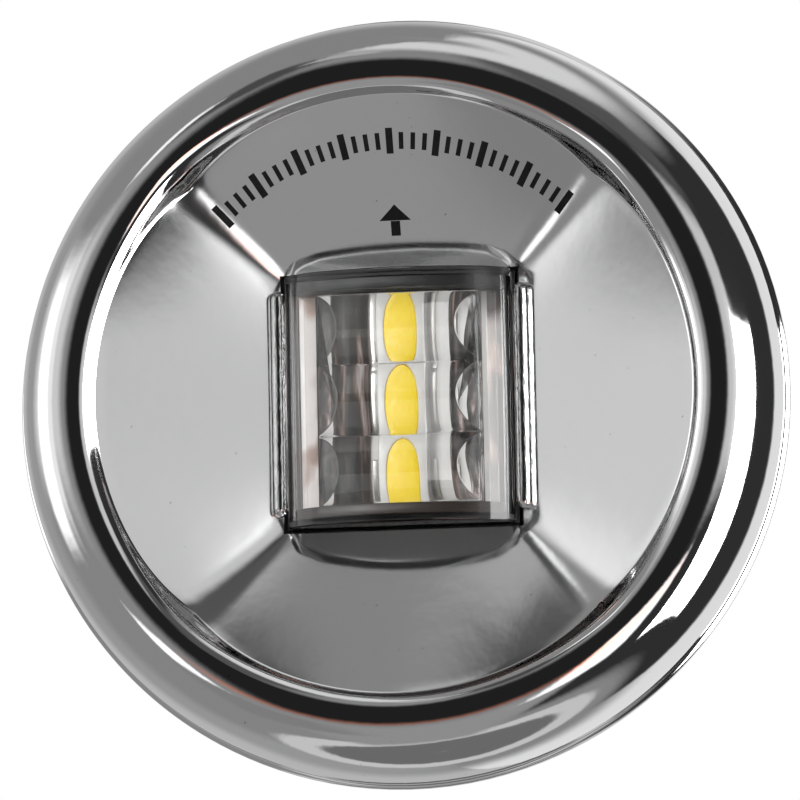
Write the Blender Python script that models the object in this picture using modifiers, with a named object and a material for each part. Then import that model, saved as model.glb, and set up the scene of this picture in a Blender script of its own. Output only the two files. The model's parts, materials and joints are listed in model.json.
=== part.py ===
"""Round 12 V stern light for a boat's transom.

A domed stainless bezel snaps over a black base housing.  Its dish is a shallow four-sided
pyramid, and a clear lens stands up through the window in the middle.  Three LEDs in a column
sit behind a clear optic with three lobes.  The supply circuit is in the cup behind.

Everything is modelled facing up, in millimetres times MM: x is to the right, y is to the top
of the light, and z is forward, away from the transom, with zero on the transom itself.  One
empty then turns the whole light upright, so its front looks along -Y and its top along +Z.
"""

import math

import bmesh
import bpy
from mathutils import Matrix, Vector

MM = 0.001
GAP = 0.3                     # air between pieces that touch on the real light

# Bezel: one pressed sheet of stainless steel
BEZEL_RADIUS = 41.5
BEZEL_FOOT = 0.5              # the skirt's lower edge
LIP_TOP = 1.2
DOME_RADIUS = 41.0            # where the dome starts, just inside the lip
DOME_FOOT = 1.7
CREST_RADIUS = 34.4
CREST_HEIGHT = 10.9
RING_RADIUS = 32.0            # the crease between the dish and the rim
SHEET = 0.8
WINDOW_HALF_WIDTH = 12.9
WINDOW_HALF_HEIGHT = 13.95
WINDOW_LEVEL = 2.0
RING_HEIGHT = 9.6             # the crease's height in the middle of each facet
FACET_STATIONS = 16           # loft sections across one facet
WALL_ROWS = 5
DOME_ROWS = 6
BEAD_RADIUS = 0.8             # raised bead along each side of the window
BEAD_LENGTH = 24.6
BEAD_X = 13.15
BEAD_LEVEL = 2.75

# Base housing: flange on the transom, cup behind it
FLANGE_RADIUS = 39.4
FLANGE_BACK = 1.3
FLANGE_FRONT = 3.1
CUP_RADIUS = 29.4
CUP_BORE = 27.4
LOWER_BORE = 25.6
LEDGE = -7.6
FLOOR_FRONT = -22.0
FLOOR_BACK = -24.0
CABLE_HOLE_RADIUS = 4.0
BOSS_RADIUS = 3.0
BOSS_PLACE = 23.2             # distance of the lens frame's screws from the middle
BOSS_HOLE_RADIUS = 1.4
BOSS_HOLE_END = -15.0
STANDOFF_RADIUS = 2.6
STANDOFF_X = 13.0
STANDOFF_Y = 6.0
STANDOFF_TOP = -14.9

# Fixing to the transom
MOUNT_SCREW_PLACE = 35.2
MOUNT_SCREW_RADIUS = 1.75
MOUNT_HOLE_RADIUS = 2.1
MOUNT_SCREW_ANGLES = (90, 210, 330)
CLIP_ANGLES = (30, 150, 270)
CLIP_WIDTH = 6.0
CLIP_SHEET = 0.4
RIVET_PLACE = 36.0
RIVET_RADIUS = 0.8
RIVET_HOLE_RADIUS = 1.1
GASKET_INNER = 30.6
GASKET_OUTER = 39.6
GASKET_FRONT = 1.0

# Lens, its frame and its seal
FRAME_RADIUS = 27.0
FRAME_FRONT = 0.8
FRAME_BACK = -3.7
LENS_HALF_WIDTH = 12.15
LENS_HALF_HEIGHT = 13.6
LENS_FRONT = 7.8
LENS_SHOULDER_X = 8.8
LENS_SHOULDER_LEVEL = 6.7
LENS_WALL = 1.2
PLINTH_HALF_WIDTH = 12.5
PLINTH_FRONT = 2.1
LENS_FLANGE_HALF_WIDTH = 15.0
LENS_FLANGE_HALF_HEIGHT = 17.0
LENS_FLANGE_FRONT = -0.8
LENS_FLANGE_BACK = -2.4
SEAL_FRONT = -2.7
SEAL_BACK = -3.7

# Carrier plate with the tower that fills the lens
CARRIER_FRONT = -4.0
CARRIER_BACK = -6.0
TOWER_HALF_WIDTH = 10.6
TOWER_HALF_HEIGHT = 12.1
TOWER_TOP = 0.6
POCKET_HALF_WIDTH = 9.0
POCKET_HALF_HEIGHT = 11.5
POCKET_FLOOR = -4.9
END_WALL_CLEARANCE = 0.35

# Optic and LEDs
LED_PITCH = 7.5
LED_SIZE = 5.0
LED_BACK = -1.1
LED_FRONT = 0.4
PHOSPHOR_RADIUS = 1.9
PHOSPHOR_FRONT = 0.75
OPTIC_BACK = 1.1
OPTIC_PLATE_FRONT = 2.1
OPTIC_HALF_WIDTH = 8.6
OPTIC_HALF_HEIGHT = 11.2
OPTIC_PLATE_HALF_WIDTH = 10.2
LOBE_VALLEY = 3.6
LOBE_CREST = 5.5
LOBE_CREST_HALF_WIDTH = 6.3
BOARD_HALF_WIDTH = 8.6
BOARD_BACK = -2.6
BOARD_FRONT = -1.4
SPREADER_FRONT = -2.9
SPREADER_BACK = -4.6
LEAD_X = 6.6
LEAD_Y = 3.75
LEAD_RADIUS = 0.45
LEAD_HOLE_RADIUS = 0.8

# Driver board in the cup
DRIVER_RADIUS = 19.4
DRIVER_FRONT = -13.0
DRIVER_BACK = -14.6
PART_FLOOR = DRIVER_FRONT + GAP

PAINTS = {}


def remove_old_objects():
    for old in list(bpy.data.objects):
        bpy.data.objects.remove(old, do_unlink=True)


def new_collection(name):
    collection = bpy.data.collections.new(name)
    bpy.context.scene.collection.children.link(collection)
    return collection


def paint(name, colour, roughness, metallic=0.0, transmission=0.0):
    """A Principled material, made once and shared by name."""
    if name in PAINTS:
        return PAINTS[name]
    material = bpy.data.materials.new(name)
    material.use_nodes = True
    shader = material.node_tree.nodes["Principled BSDF"]
    shader.inputs["Base Color"].default_value = (*colour, 1.0)
    shader.inputs["Roughness"].default_value = roughness
    shader.inputs["Metallic"].default_value = metallic
    shader.inputs["Transmission Weight"].default_value = transmission
    material.diffuse_color = (*colour, 1.0)
    PAINTS[name] = material
    return material


def steel():
    return paint("polished_steel", (0.78, 0.78, 0.79), 0.08, metallic=1.0)


def black_plastic():
    return paint("black_plastic", (0.02, 0.02, 0.022), 0.45)


def clear_plastic():
    return paint("clear_plastic", (0.95, 0.96, 0.97), 0.03, transmission=1.0)


class Light:
    """The collections and the empty that the light's pieces are hung on."""

    def __init__(self):
        self.parts = new_collection("stern_light")
        self.tools = new_collection("cutters")
        self.upright = bpy.data.objects.new("upright", None)
        self.upright.rotation_euler = (math.radians(90), 0, 0)
        self.parts.objects.link(self.upright)

    def add(self, name, mesh, material=None):
        """A sub-part, or with no material a tool that only cuts or joins."""
        piece = bpy.data.objects.new(name, mesh)
        piece.parent = self.upright
        if material is None:
            self.tools.objects.link(piece)
            piece.hide_render = True
            piece.display_type = "WIRE"
        else:
            self.parts.objects.link(piece)
            mesh.materials.append(material)
        return piece


def finish_mesh(bm, name, smooth_angle=35):
    bmesh.ops.recalc_face_normals(bm, faces=bm.faces)
    mesh = bpy.data.meshes.new(name)
    bm.to_mesh(mesh)
    bm.free()
    mesh.shade_smooth()
    mesh.set_sharp_from_angle(angle=math.radians(smooth_angle))
    return mesh


def block_mesh(name, low, high):
    """A box between two corners, in millimetres."""
    size = [(high[i] - low[i]) * MM for i in range(3)]
    middle = [(high[i] + low[i]) / 2 * MM for i in range(3)]
    bm = bmesh.new()
    place = Matrix.Translation(middle) @ Matrix.Diagonal((*size, 1.0))
    bmesh.ops.create_cube(bm, size=1.0, matrix=place)
    return finish_mesh(bm, name)


def rod_mesh(name, radius, back, front, x=0.0, y=0.0, sides=24, front_radius=None):
    """A round rod along z, standing at x, y."""
    top = radius if front_radius is None else front_radius
    place = Matrix.Translation((x * MM, y * MM, (back + front) / 2 * MM))
    bm = bmesh.new()
    bmesh.ops.create_cone(bm, cap_ends=True, segments=sides, radius1=radius * MM,
                          radius2=top * MM, depth=(front - back) * MM, matrix=place)
    return finish_mesh(bm, name)


def prism_mesh(name, outline, start, end, axis="y"):
    """An outline pushed along x or y.  Its points are (across, forward) pairs."""
    bm = bmesh.new()
    if axis == "y":
        corners = [bm.verts.new((a * MM, start * MM, z * MM)) for a, z in outline]
        push = Vector((0, (end - start) * MM, 0))
    else:
        corners = [bm.verts.new((start * MM, a * MM, z * MM)) for a, z in outline]
        push = Vector(((end - start) * MM, 0, 0))
    base = bm.faces.new(corners)
    grown = bmesh.ops.extrude_face_region(bm, geom=[base])
    moved = [item for item in grown["geom"] if isinstance(item, bmesh.types.BMVert)]
    bmesh.ops.translate(bm, verts=moved, vec=push)
    return finish_mesh(bm, name)


def turned(light, name, profile, material, steps=48):
    """A closed (radius, height) outline turned round z with a Screw modifier."""
    mesh = bpy.data.meshes.new(name)
    points = [(r * MM, 0, z * MM) for r, z in profile]
    count = len(points)
    on_axis = profile[0][0] == 0
    last = count - 1 if on_axis else count
    edges = [(i, (i + 1) % count) for i in range(last)]
    mesh.from_pydata(points, edges, [])
    piece = light.add(name, mesh, material)
    screw = piece.modifiers.new("turn", "SCREW")
    screw.steps = steps
    screw.render_steps = steps
    screw.use_merge_vertices = True
    screw.merge_threshold = 0.00001
    screw.use_smooth_shade = True
    return piece


def combine(target, tool, operation):
    step = target.modifiers.new(f"{operation.lower()}_{tool.name}"[:60], "BOOLEAN")
    step.operation = operation
    step.solver = "EXACT"
    step.object = tool
    return step


def cut(target, *tools):
    for tool in tools:
        combine(target, tool, "DIFFERENCE")


def join(target, *tools):
    for tool in tools:
        combine(target, tool, "UNION")


def around(radius, degrees):
    angle = math.radians(degrees)
    return radius * math.cos(angle), radius * math.sin(angle)


def mirrored(half):
    """A left-right symmetric outline from the points of its right half, top point first."""
    left = [(-x, z) for x, z in reversed(half) if x > 1e-9]
    return half + left


# ---------------------------------------------------------------- bezel

def facet_rise(half_size):
    return (RING_HEIGHT - WINDOW_LEVEL) / (RING_RADIUS - half_size)


def facet_height(x, y):
    """Height of the dish: the higher of the side facets' and the end facets' planes."""
    side = WINDOW_LEVEL + facet_rise(WINDOW_HALF_WIDTH) * (abs(x) - WINDOW_HALF_WIDTH)
    end = WINDOW_LEVEL + facet_rise(WINDOW_HALF_HEIGHT) * (abs(y) - WINDOW_HALF_HEIGHT)
    return max(side, end)


def crease_angle():
    """Where the crease from the window's corner meets the ring."""
    slope = facet_rise(WINDOW_HALF_WIDTH) / facet_rise(WINDOW_HALF_HEIGHT)
    run = math.hypot(1, slope)
    ux, uy = 1 / run, slope / run
    along = WINDOW_HALF_WIDTH * ux + WINDOW_HALF_HEIGHT * uy
    aside = WINDOW_HALF_WIDTH ** 2 + WINDOW_HALF_HEIGHT ** 2 - RING_RADIUS ** 2
    reach = -along + math.sqrt(along ** 2 - aside)
    return math.atan2(WINDOW_HALF_HEIGHT + reach * uy, WINDOW_HALF_WIDTH + reach * ux)


def loft_stations():
    """(window point, ring angle) pairs once round, with one pair on each crease."""
    corner = crease_angle()
    corners = [(1, -1, -corner), (1, 1, corner), (-1, 1, math.pi - corner),
               (-1, -1, math.pi + corner), (1, -1, 2 * math.pi - corner)]
    stations = []
    for start, end in zip(corners, corners[1:]):
        for step in range(FACET_STATIONS):
            part = step / FACET_STATIONS
            x = WINDOW_HALF_WIDTH * (start[0] + (end[0] - start[0]) * part)
            y = WINDOW_HALF_HEIGHT * (start[1] + (end[1] - start[1]) * part)
            stations.append((x, y, start[2] + (end[2] - start[2]) * part))
    return stations


def wall_point(ring_height, angle, part):
    """The rim's inner wall: a curve from the crease up to the crest."""
    x, y = RING_RADIUS * math.cos(angle), RING_RADIUS * math.sin(angle)
    rise = (ring_height - facet_height(0.98 * x, 0.98 * y)) / (0.02 * RING_RADIUS)
    steps = [(RING_RADIUS, ring_height), (RING_RADIUS + 0.6, ring_height + 0.6 * rise),
             (CREST_RADIUS - 1.9, CREST_HEIGHT), (CREST_RADIUS, CREST_HEIGHT)]
    weights = [(1 - part) ** 3, 3 * part * (1 - part) ** 2, 3 * part ** 2 * (1 - part), part ** 3]
    return tuple(sum(w * p[i] for w, p in zip(weights, steps)) for i in range(2))


def dome_point(part):
    """The rim's outer side: a quarter of an ellipse from the crest down to the lip."""
    angle = math.pi / 2 * (1 - part)
    radius = CREST_RADIUS + (DOME_RADIUS - CREST_RADIUS) * math.cos(angle)
    return radius, DOME_FOOT + (CREST_HEIGHT - DOME_FOOT) * math.sin(angle)


def bezel_section(x, y, angle):
    """The points of one loft section, from the window's edge out and down to the foot."""
    ring_x, ring_y = RING_RADIUS * math.cos(angle), RING_RADIUS * math.sin(angle)
    ring_height = facet_height(ring_x, ring_y)
    rim = [wall_point(ring_height, angle, (i + 1) / WALL_ROWS) for i in range(WALL_ROWS)]
    rim += [dome_point((i + 1) / DOME_ROWS) for i in range(DOME_ROWS)]
    rim += [(BEZEL_RADIUS, LIP_TOP), (BEZEL_RADIUS, BEZEL_FOOT)]
    points = [(x, y, WINDOW_LEVEL), (ring_x, ring_y, ring_height)]
    points += [(r * math.cos(angle), r * math.sin(angle), z) for r, z in rim]
    return points


def bezel_surface():
    """The front of the pressed sheet: a loft from the window's rectangle to the round rim."""
    bm = bmesh.new()
    sections = []
    for x, y, angle in loft_stations():
        sections.append([bm.verts.new(Vector(p) * MM) for p in bezel_section(x, y, angle)])
    for this, following in zip(sections, sections[1:] + sections[:1]):
        for row in range(len(this) - 1):
            bm.faces.new((this[row], this[row + 1], following[row + 1], following[row]))
    mesh = bpy.data.meshes.new("bezel")
    bm.to_mesh(mesh)
    bm.free()
    mesh.shade_smooth()
    mesh.set_sharp_from_angle(angle=math.radians(18))
    return mesh


def bead_mesh(name, side):
    """A round bar with ball ends beside the window, half sunk in the sheet."""
    half = BEAD_LENGTH / 2 - BEAD_RADIUS
    bm = bmesh.new()
    bmesh.ops.create_uvsphere(bm, u_segments=12, v_segments=8, radius=BEAD_RADIUS * MM,
                              matrix=Matrix.Rotation(math.radians(90), 4, "X"))
    for vert in bm.verts:
        if abs(vert.co.y) > 1e-7:
            vert.co.y += math.copysign(half * MM, vert.co.y)
        vert.co += Vector((side * BEAD_X * MM, 0, BEAD_LEVEL * MM))
    return finish_mesh(bm, name)


def make_bezel(light):
    bezel = light.add("bezel", bezel_surface(), steel())
    sheet = bezel.modifiers.new("sheet", "SOLIDIFY")
    sheet.thickness = SHEET * MM
    sheet.offset = -1
    sheet.use_even_offset = True
    for side, word in ((-1, "left"), (1, "right")):
        bead = light.add(f"bead_{word}", bead_mesh(f"bead_{word}", side))
        join(bezel, bead)
    return bezel


# ---------------------------------------------------------------- housing and fixings

def make_housing(light):
    profile = [(FLANGE_RADIUS, FLANGE_FRONT), (FLANGE_RADIUS, FLANGE_BACK),
               (CUP_RADIUS, FLANGE_BACK), (CUP_RADIUS, FLOOR_BACK + 1.0),
               (CUP_RADIUS - 1.0, FLOOR_BACK), (CABLE_HOLE_RADIUS, FLOOR_BACK),
               (CABLE_HOLE_RADIUS, FLOOR_FRONT), (LOWER_BORE, FLOOR_FRONT),
               (LOWER_BORE, LEDGE), (CUP_BORE, LEDGE), (CUP_BORE, FLANGE_FRONT)]
    housing = turned(light, "housing", profile, black_plastic(), steps=64)
    for index in range(4):
        x, y = around(BOSS_PLACE, 90 * index)
        boss = rod_mesh("boss", BOSS_RADIUS, FLOOR_FRONT - 0.5, LEDGE, x, y, 16)
        join(housing, light.add(f"boss_{index}", boss))
    for side in (-1, 1):
        post = rod_mesh("post", STANDOFF_RADIUS, FLOOR_FRONT - 0.5, STANDOFF_TOP,
                        side * STANDOFF_X, side * STANDOFF_Y, 16)
        join(housing, light.add(f"post_{side + 1}", post))
    for index in range(4):
        x, y = around(BOSS_PLACE, 90 * index)
        hole = rod_mesh("hole", BOSS_HOLE_RADIUS, BOSS_HOLE_END, LEDGE + 1, x, y, 12)
        cut(housing, light.add(f"boss_hole_{index}", hole))
    for side in (-1, 1):
        hole = rod_mesh("hole", BOSS_HOLE_RADIUS, FLOOR_FRONT + 1, STANDOFF_TOP + 1,
                        side * STANDOFF_X, side * STANDOFF_Y, 12)
        cut(housing, light.add(f"post_hole_{side + 1}", hole))
    cut_fixing_holes(light, housing)
    for degrees in CLIP_ANGLES:
        x, y = around(RIVET_PLACE, degrees)
        hole = rod_mesh("hole", RIVET_HOLE_RADIUS, 0, 5, x, y, 12)
        cut(housing, light.add(f"rivet_hole_{degrees}", hole))
    return housing


def cut_fixing_holes(light, target):
    """The three screw holes that go through both the flange and the gasket."""
    for degrees in MOUNT_SCREW_ANGLES:
        x, y = around(MOUNT_SCREW_PLACE, degrees)
        hole = rod_mesh("hole", MOUNT_HOLE_RADIUS, -2, 6, x, y, 16)
        cut(target, light.add(f"fixing_hole_{target.name}_{degrees}", hole))


def make_gasket(light):
    rubber = paint("foam_rubber", (0.03, 0.03, 0.03), 0.9)
    profile = [(GASKET_OUTER, GASKET_FRONT), (GASKET_OUTER, 0),
               (GASKET_INNER, 0), (GASKET_INNER, GASKET_FRONT)]
    gasket = turned(light, "mounting_gasket", profile, rubber, steps=64)
    cut_fixing_holes(light, gasket)
    for degrees in CLIP_ANGLES:
        x, y = around(RIVET_PLACE, degrees)
        hole = rod_mesh("hole", 2.0, -1, 2, x, y, 12)
        cut(gasket, light.add(f"rivet_relief_{degrees}", hole))


def screw_outline(radius, length, head_radius, head_height, under_head):
    """Half section of a pan-head screw with a pointed end, from the head's top down."""
    top = under_head + head_height
    return [(0, top), (head_radius * 0.7, top - 0.1 * head_height),
            (head_radius, under_head + 0.45 * head_height), (head_radius, under_head),
            (radius, under_head), (radius, under_head - length + 1.5 * radius),
            (0, under_head - length)]


def make_screw(light, name, x, y, radius, length, head_radius, head_height, under_head):
    """A pan-head screw with a cross recess."""
    outline = screw_outline(radius, length, head_radius, head_height, under_head)
    screw = turned(light, name, outline, steel(), steps=16)
    screw.location = (x * MM, y * MM, 0)
    top = under_head + head_height
    arm = head_radius * 0.55
    slot = head_radius * 0.11
    for word, half_x, half_y in (("a", arm, slot), ("b", slot, arm)):
        low = (-half_x, -half_y, top - 0.55 * head_height)
        mesh = block_mesh("recess", low, (half_x, half_y, top + 0.5))
        recess = light.add(f"recess_{word}_{name}", mesh)
        recess.location = screw.location
        cut(screw, recess)
    return screw


def make_mounting_screws(light):
    for number, degrees in enumerate(MOUNT_SCREW_ANGLES, 1):
        x, y = around(MOUNT_SCREW_PLACE, degrees)
        make_screw(light, f"mounting_screw_{number}", x, y, MOUNT_SCREW_RADIUS, 19.0, 3.1, 2.4,
                   FLANGE_FRONT + GAP)


def make_bezel_clips(light):
    """Springy stainless hooks on the flange that the bezel's skirt snaps over."""
    spring = paint("spring_steel", (0.62, 0.62, 0.64), 0.25, metallic=1.0)
    foot = FLANGE_FRONT + GAP
    outer = [(33.9, foot), (38.3, foot), (39.4, foot + 1.0), (38.6, foot + 2.9)]
    inner = [(38.2, foot + 2.8), (38.9, foot + 1.05), (38.1, foot + CLIP_SHEET),
             (33.9, foot + CLIP_SHEET)]
    for number, degrees in enumerate(CLIP_ANGLES, 1):
        mesh = prism_mesh("clip", outer + inner, -CLIP_WIDTH / 2, CLIP_WIDTH / 2)
        clip = light.add(f"bezel_clip_{number}", mesh, spring)
        clip.rotation_euler = (0, 0, math.radians(degrees))
        hole = rod_mesh("hole", RIVET_HOLE_RADIUS, 0, 6, RIVET_PLACE, 0, 12)
        punch = light.add(f"clip_hole_{number}", hole)
        punch.rotation_euler = clip.rotation_euler
        cut(clip, punch)
        head = foot + CLIP_SHEET + GAP
        tail = FLANGE_BACK - GAP
        outline = [(0, head + 0.7), (1.2, head + 0.5), (1.7, head), (RIVET_RADIUS, head),
                   (RIVET_RADIUS, tail), (1.5, tail), (1.2, tail - 0.6), (0, tail - 0.6)]
        x, y = around(RIVET_PLACE, degrees)
        rivet = turned(light, f"clip_rivet_{number}", outline, spring, steps=12)
        rivet.location = (x * MM, y * MM, 0)


def make_cable_grommet(light):
    """A rubber bush in the cup's floor with a bore for each of the two supply wires."""
    rubber = paint("black_rubber", (0.025, 0.025, 0.025), 0.7)
    outside = FLOOR_BACK - GAP
    inside = FLOOR_FRONT + GAP
    profile = [(0, inside + 1.6), (4.4, inside + 1.6), (5.2, inside), (3.7, inside),
               (3.7, outside), (6.0, outside), (5.6, outside - 1.6), (0, outside - 1.6)]
    grommet = turned(light, "cable_grommet", profile, rubber, steps=24)
    for side in (-1, 1):
        bore = rod_mesh("bore", 1.1, outside - 3, inside + 3, side * 1.7, 0, 12)
        cut(grommet, light.add(f"wire_bore_{side + 1}", bore))


# ---------------------------------------------------------------- lens group

def lens_outline(inset, foot):
    """The lens in plan: upright sides, rounded shoulders and a gently bowed front."""
    width = LENS_HALF_WIDTH - inset
    front = LENS_FRONT - inset
    shoulder = (LENS_SHOULDER_X - 0.6 * inset, LENS_SHOULDER_LEVEL - inset)
    bow = [(shoulder[0] * t / 4, front - (front - shoulder[1]) * (t / 4) ** 2) for t in range(5)]
    drop = shoulder[1] - (WINDOW_LEVEL + 1.6 - inset)
    steps = [math.radians(18 * i) for i in range(1, 6)]
    turn = [(shoulder[0] + (width - shoulder[0]) * math.sin(a),
             shoulder[1] - drop * (1 - math.cos(a))) for a in steps]
    return mirrored(bow + turn + [(width, foot)])


def make_lens_cover(light):
    """Clear moulding: flange under the frame, plinth in the window, hollow bowed body."""
    tall = LENS_HALF_HEIGHT
    body = prism_mesh("lens", lens_outline(0, LENS_FLANGE_BACK), -tall, tall)
    lens = light.add("lens_cover", body, clear_plastic())
    plinth = block_mesh("plinth", (-PLINTH_HALF_WIDTH, -tall, LENS_FLANGE_BACK + 0.2),
                        (PLINTH_HALF_WIDTH, tall, PLINTH_FRONT))
    flange = block_mesh("flange",
                        (-LENS_FLANGE_HALF_WIDTH, -LENS_FLANGE_HALF_HEIGHT, LENS_FLANGE_BACK),
                        (LENS_FLANGE_HALF_WIDTH, LENS_FLANGE_HALF_HEIGHT, LENS_FLANGE_FRONT))
    room = tall - LENS_WALL
    hollow = prism_mesh("hollow", lens_outline(LENS_WALL, LENS_FLANGE_BACK - 1), -room, room)
    join(lens, light.add("lens_plinth", plinth), light.add("lens_flange", flange))
    cut(lens, light.add("lens_hollow", hollow))


def make_lens_seal(light):
    rubber = paint("grey_rubber", (0.12, 0.12, 0.12), 0.8)
    wide, tall = LENS_FLANGE_HALF_WIDTH, LENS_FLANGE_HALF_HEIGHT
    mesh = block_mesh("seal", (-wide, -tall, SEAL_BACK), (wide, tall, SEAL_FRONT))
    seal = light.add("lens_seal", mesh, rubber)
    inner = (TOWER_HALF_WIDTH + 0.6, TOWER_HALF_HEIGHT + 0.6)
    hole = block_mesh("hole", (-inner[0], -inner[1], SEAL_BACK - 1), (*inner, SEAL_FRONT + 1))
    cut(seal, light.add("seal_hole", hole))


def make_lens_frame(light):
    """The plate that clamps the lens: a window for the plinth and a pocket for the flange."""
    mesh = rod_mesh("frame", FRAME_RADIUS, FRAME_BACK, FRAME_FRONT, sides=64)
    frame = light.add("lens_frame", mesh, black_plastic())
    wide, tall = PLINTH_HALF_WIDTH + GAP, LENS_HALF_HEIGHT + GAP
    window = block_mesh("window", (-wide, -tall, FRAME_BACK - 1), (wide, tall, FRAME_FRONT + 1))
    wide, tall = LENS_FLANGE_HALF_WIDTH + GAP, LENS_FLANGE_HALF_HEIGHT + GAP
    pocket = block_mesh("pocket", (-wide, -tall, FRAME_BACK - 1),
                        (wide, tall, LENS_FLANGE_FRONT + GAP))
    cut(frame, light.add("frame_window", window), light.add("frame_pocket", pocket))
    cut_boss_holes(light, frame)


def cut_boss_holes(light, target):
    for index in range(4):
        x, y = around(BOSS_PLACE, 90 * index)
        hole = rod_mesh("hole", BOSS_HOLE_RADIUS, CARRIER_BACK - 1, FRAME_FRONT + 1, x, y, 12)
        cut(target, light.add(f"clear_hole_{target.name}_{index}", hole))


def make_frame_screws(light):
    for index in range(4):
        x, y = around(BOSS_PLACE, 90 * index)
        make_screw(light, f"frame_screw_{index + 1}", x, y, 1.1, 14.0, 2.3, 1.7,
                   FRAME_FRONT + GAP)


def make_carrier(light):
    """Plate with a tower inside the lens: a pocket for the LEDs and two black end walls."""
    mesh = rod_mesh("carrier", FRAME_RADIUS, CARRIER_BACK, CARRIER_FRONT, sides=64)
    carrier = light.add("optic_carrier", mesh, black_plastic())
    wide, tall = TOWER_HALF_WIDTH, TOWER_HALF_HEIGHT
    tower = block_mesh("tower", (-wide, -tall, CARRIER_BACK + 0.5), (wide, tall, TOWER_TOP))
    join(carrier, light.add("tower", tower))
    inset = LENS_WALL + END_WALL_CLEARANCE
    for side, word in ((-1, "lower"), (1, "upper")):
        near, far = sorted((side * POCKET_HALF_HEIGHT, side * (TOWER_HALF_HEIGHT - 0.05)))
        outline = lens_outline(inset, CARRIER_FRONT)
        wall = prism_mesh("wall", outline, near, far)
        join(carrier, light.add(f"end_wall_{word}", wall))
    wide, tall = POCKET_HALF_WIDTH, POCKET_HALF_HEIGHT
    pocket = block_mesh("pocket", (-wide, -tall, POCKET_FLOOR), (wide, tall, LENS_FRONT + 1))
    cut(carrier, light.add("led_pocket", pocket))
    cut_lead_holes(light, carrier)
    cut_boss_holes(light, carrier)


def cut_lead_holes(light, target):
    for side in (-1, 1):
        hole = rod_mesh("hole", LEAD_HOLE_RADIUS, CARRIER_BACK - 1, SPREADER_FRONT + 1,
                        side * LEAD_X, LEAD_Y, 12)
        cut(target, light.add(f"lead_hole_{target.name}_{side + 1}", hole))


def make_housing_seal(light):
    rubber = paint("grey_rubber", (0.12, 0.12, 0.12), 0.8)
    front, back = CARRIER_BACK - GAP, LEDGE + GAP
    inner, outer = LOWER_BORE + 0.35, CUP_BORE - 0.3
    profile = [(outer, front), (outer, back), (inner, back), (inner, front)]
    turned(light, "housing_seal", profile, rubber, steps=64)


# ---------------------------------------------------------------- optic and LEDs

def lobe_outline():
    """Side view of the optic: three round lobes, one over each LED."""
    sagitta = LOBE_CREST - LOBE_VALLEY
    half = LED_PITCH / 2
    radius = (half ** 2 + sagitta ** 2) / (2 * sagitta)
    points = [(-OPTIC_HALF_HEIGHT, OPTIC_BACK), (OPTIC_HALF_HEIGHT, OPTIC_BACK)]
    for middle in (LED_PITCH, 0, -LED_PITCH):
        for step in range(9):
            y = half * (1 - step / 4)
            if step == 8 and middle > -LED_PITCH:
                continue
            z = LOBE_CREST - radius + math.sqrt(radius ** 2 - y ** 2)
            points.append((max(-OPTIC_HALF_HEIGHT, min(OPTIC_HALF_HEIGHT, middle + y)), z))
    return points


def make_optic(light):
    """Clear moulding with three lobes whose sides slope in towards the front."""
    wide = OPTIC_PLATE_HALF_WIDTH
    block = prism_mesh("optic", lobe_outline(), -wide - 1, wide + 1, "x")
    optic = light.add("optic", block, clear_plastic())
    rise = LOBE_CREST - LOBE_VALLEY
    slant = (OPTIC_HALF_WIDTH - LOBE_CREST_HALF_WIDTH) / rise
    foot = OPTIC_HALF_WIDTH
    front = LOBE_CREST + 1
    half = [(0, front), (LOBE_CREST_HALF_WIDTH - slant, front), (foot, LOBE_VALLEY),
            (foot, OPTIC_PLATE_FRONT), (wide, OPTIC_PLATE_FRONT), (wide, OPTIC_BACK - 1)]
    keep = prism_mesh("keep", mirrored(half), -LENS_HALF_HEIGHT, LENS_HALF_HEIGHT)
    combine(optic, light.add("optic_keep", keep), "INTERSECT")


def make_leds(light):
    ceramic = paint("led_package", (0.9, 0.9, 0.88), 0.4)
    phosphor = paint("phosphor", (0.95, 0.75, 0.08), 0.5)
    half = LED_SIZE / 2
    for number, y in enumerate((LED_PITCH, 0, -LED_PITCH), 1):
        mesh = block_mesh("led", (-half, y - half, LED_BACK), (half, y + half, LED_FRONT))
        light.add(f"led_{number}", mesh, ceramic)
        dome = rod_mesh("phosphor", PHOSPHOR_RADIUS, LED_FRONT + 0.1, PHOSPHOR_FRONT, 0, y, 16,
                        PHOSPHOR_RADIUS * 0.93)
        light.add(f"phosphor_{number}", dome, phosphor)


def make_led_board(light):
    tall = OPTIC_HALF_HEIGHT
    wide = BOARD_HALF_WIDTH
    white = paint("white_board", (0.85, 0.85, 0.83), 0.5)
    metal = paint("aluminium", (0.75, 0.76, 0.77), 0.35, metallic=1.0)
    board = block_mesh("board", (-wide, -tall, BOARD_BACK), (wide, tall, BOARD_FRONT))
    light.add("led_board", board, white)
    plate = block_mesh("plate", (-wide, -tall, SPREADER_BACK), (wide, tall, SPREADER_FRONT))
    spreader = light.add("heat_spreader", plate, metal)
    cut_lead_holes(light, spreader)


# ---------------------------------------------------------------- driver board

def make_driver_board(light):
    green = paint("circuit_board", (0.03, 0.22, 0.09), 0.45)
    mesh = rod_mesh("driver", DRIVER_RADIUS, DRIVER_BACK, DRIVER_FRONT, sides=48)
    board = light.add("driver_board", mesh, green)
    for side in (-1, 1):
        x, y = side * STANDOFF_X, side * STANDOFF_Y
        hole = rod_mesh("hole", BOSS_HOLE_RADIUS, DRIVER_BACK - 1, DRIVER_FRONT + 1, x, y, 12)
        cut(board, light.add(f"driver_hole_{side + 1}", hole))
    for number, side in enumerate((-1, 1), 1):
        x, y = side * STANDOFF_X, side * STANDOFF_Y
        make_screw(light, f"driver_screw_{number}", x, y, 1.1, 7.0, 2.2, 1.6, PART_FLOOR)


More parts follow.
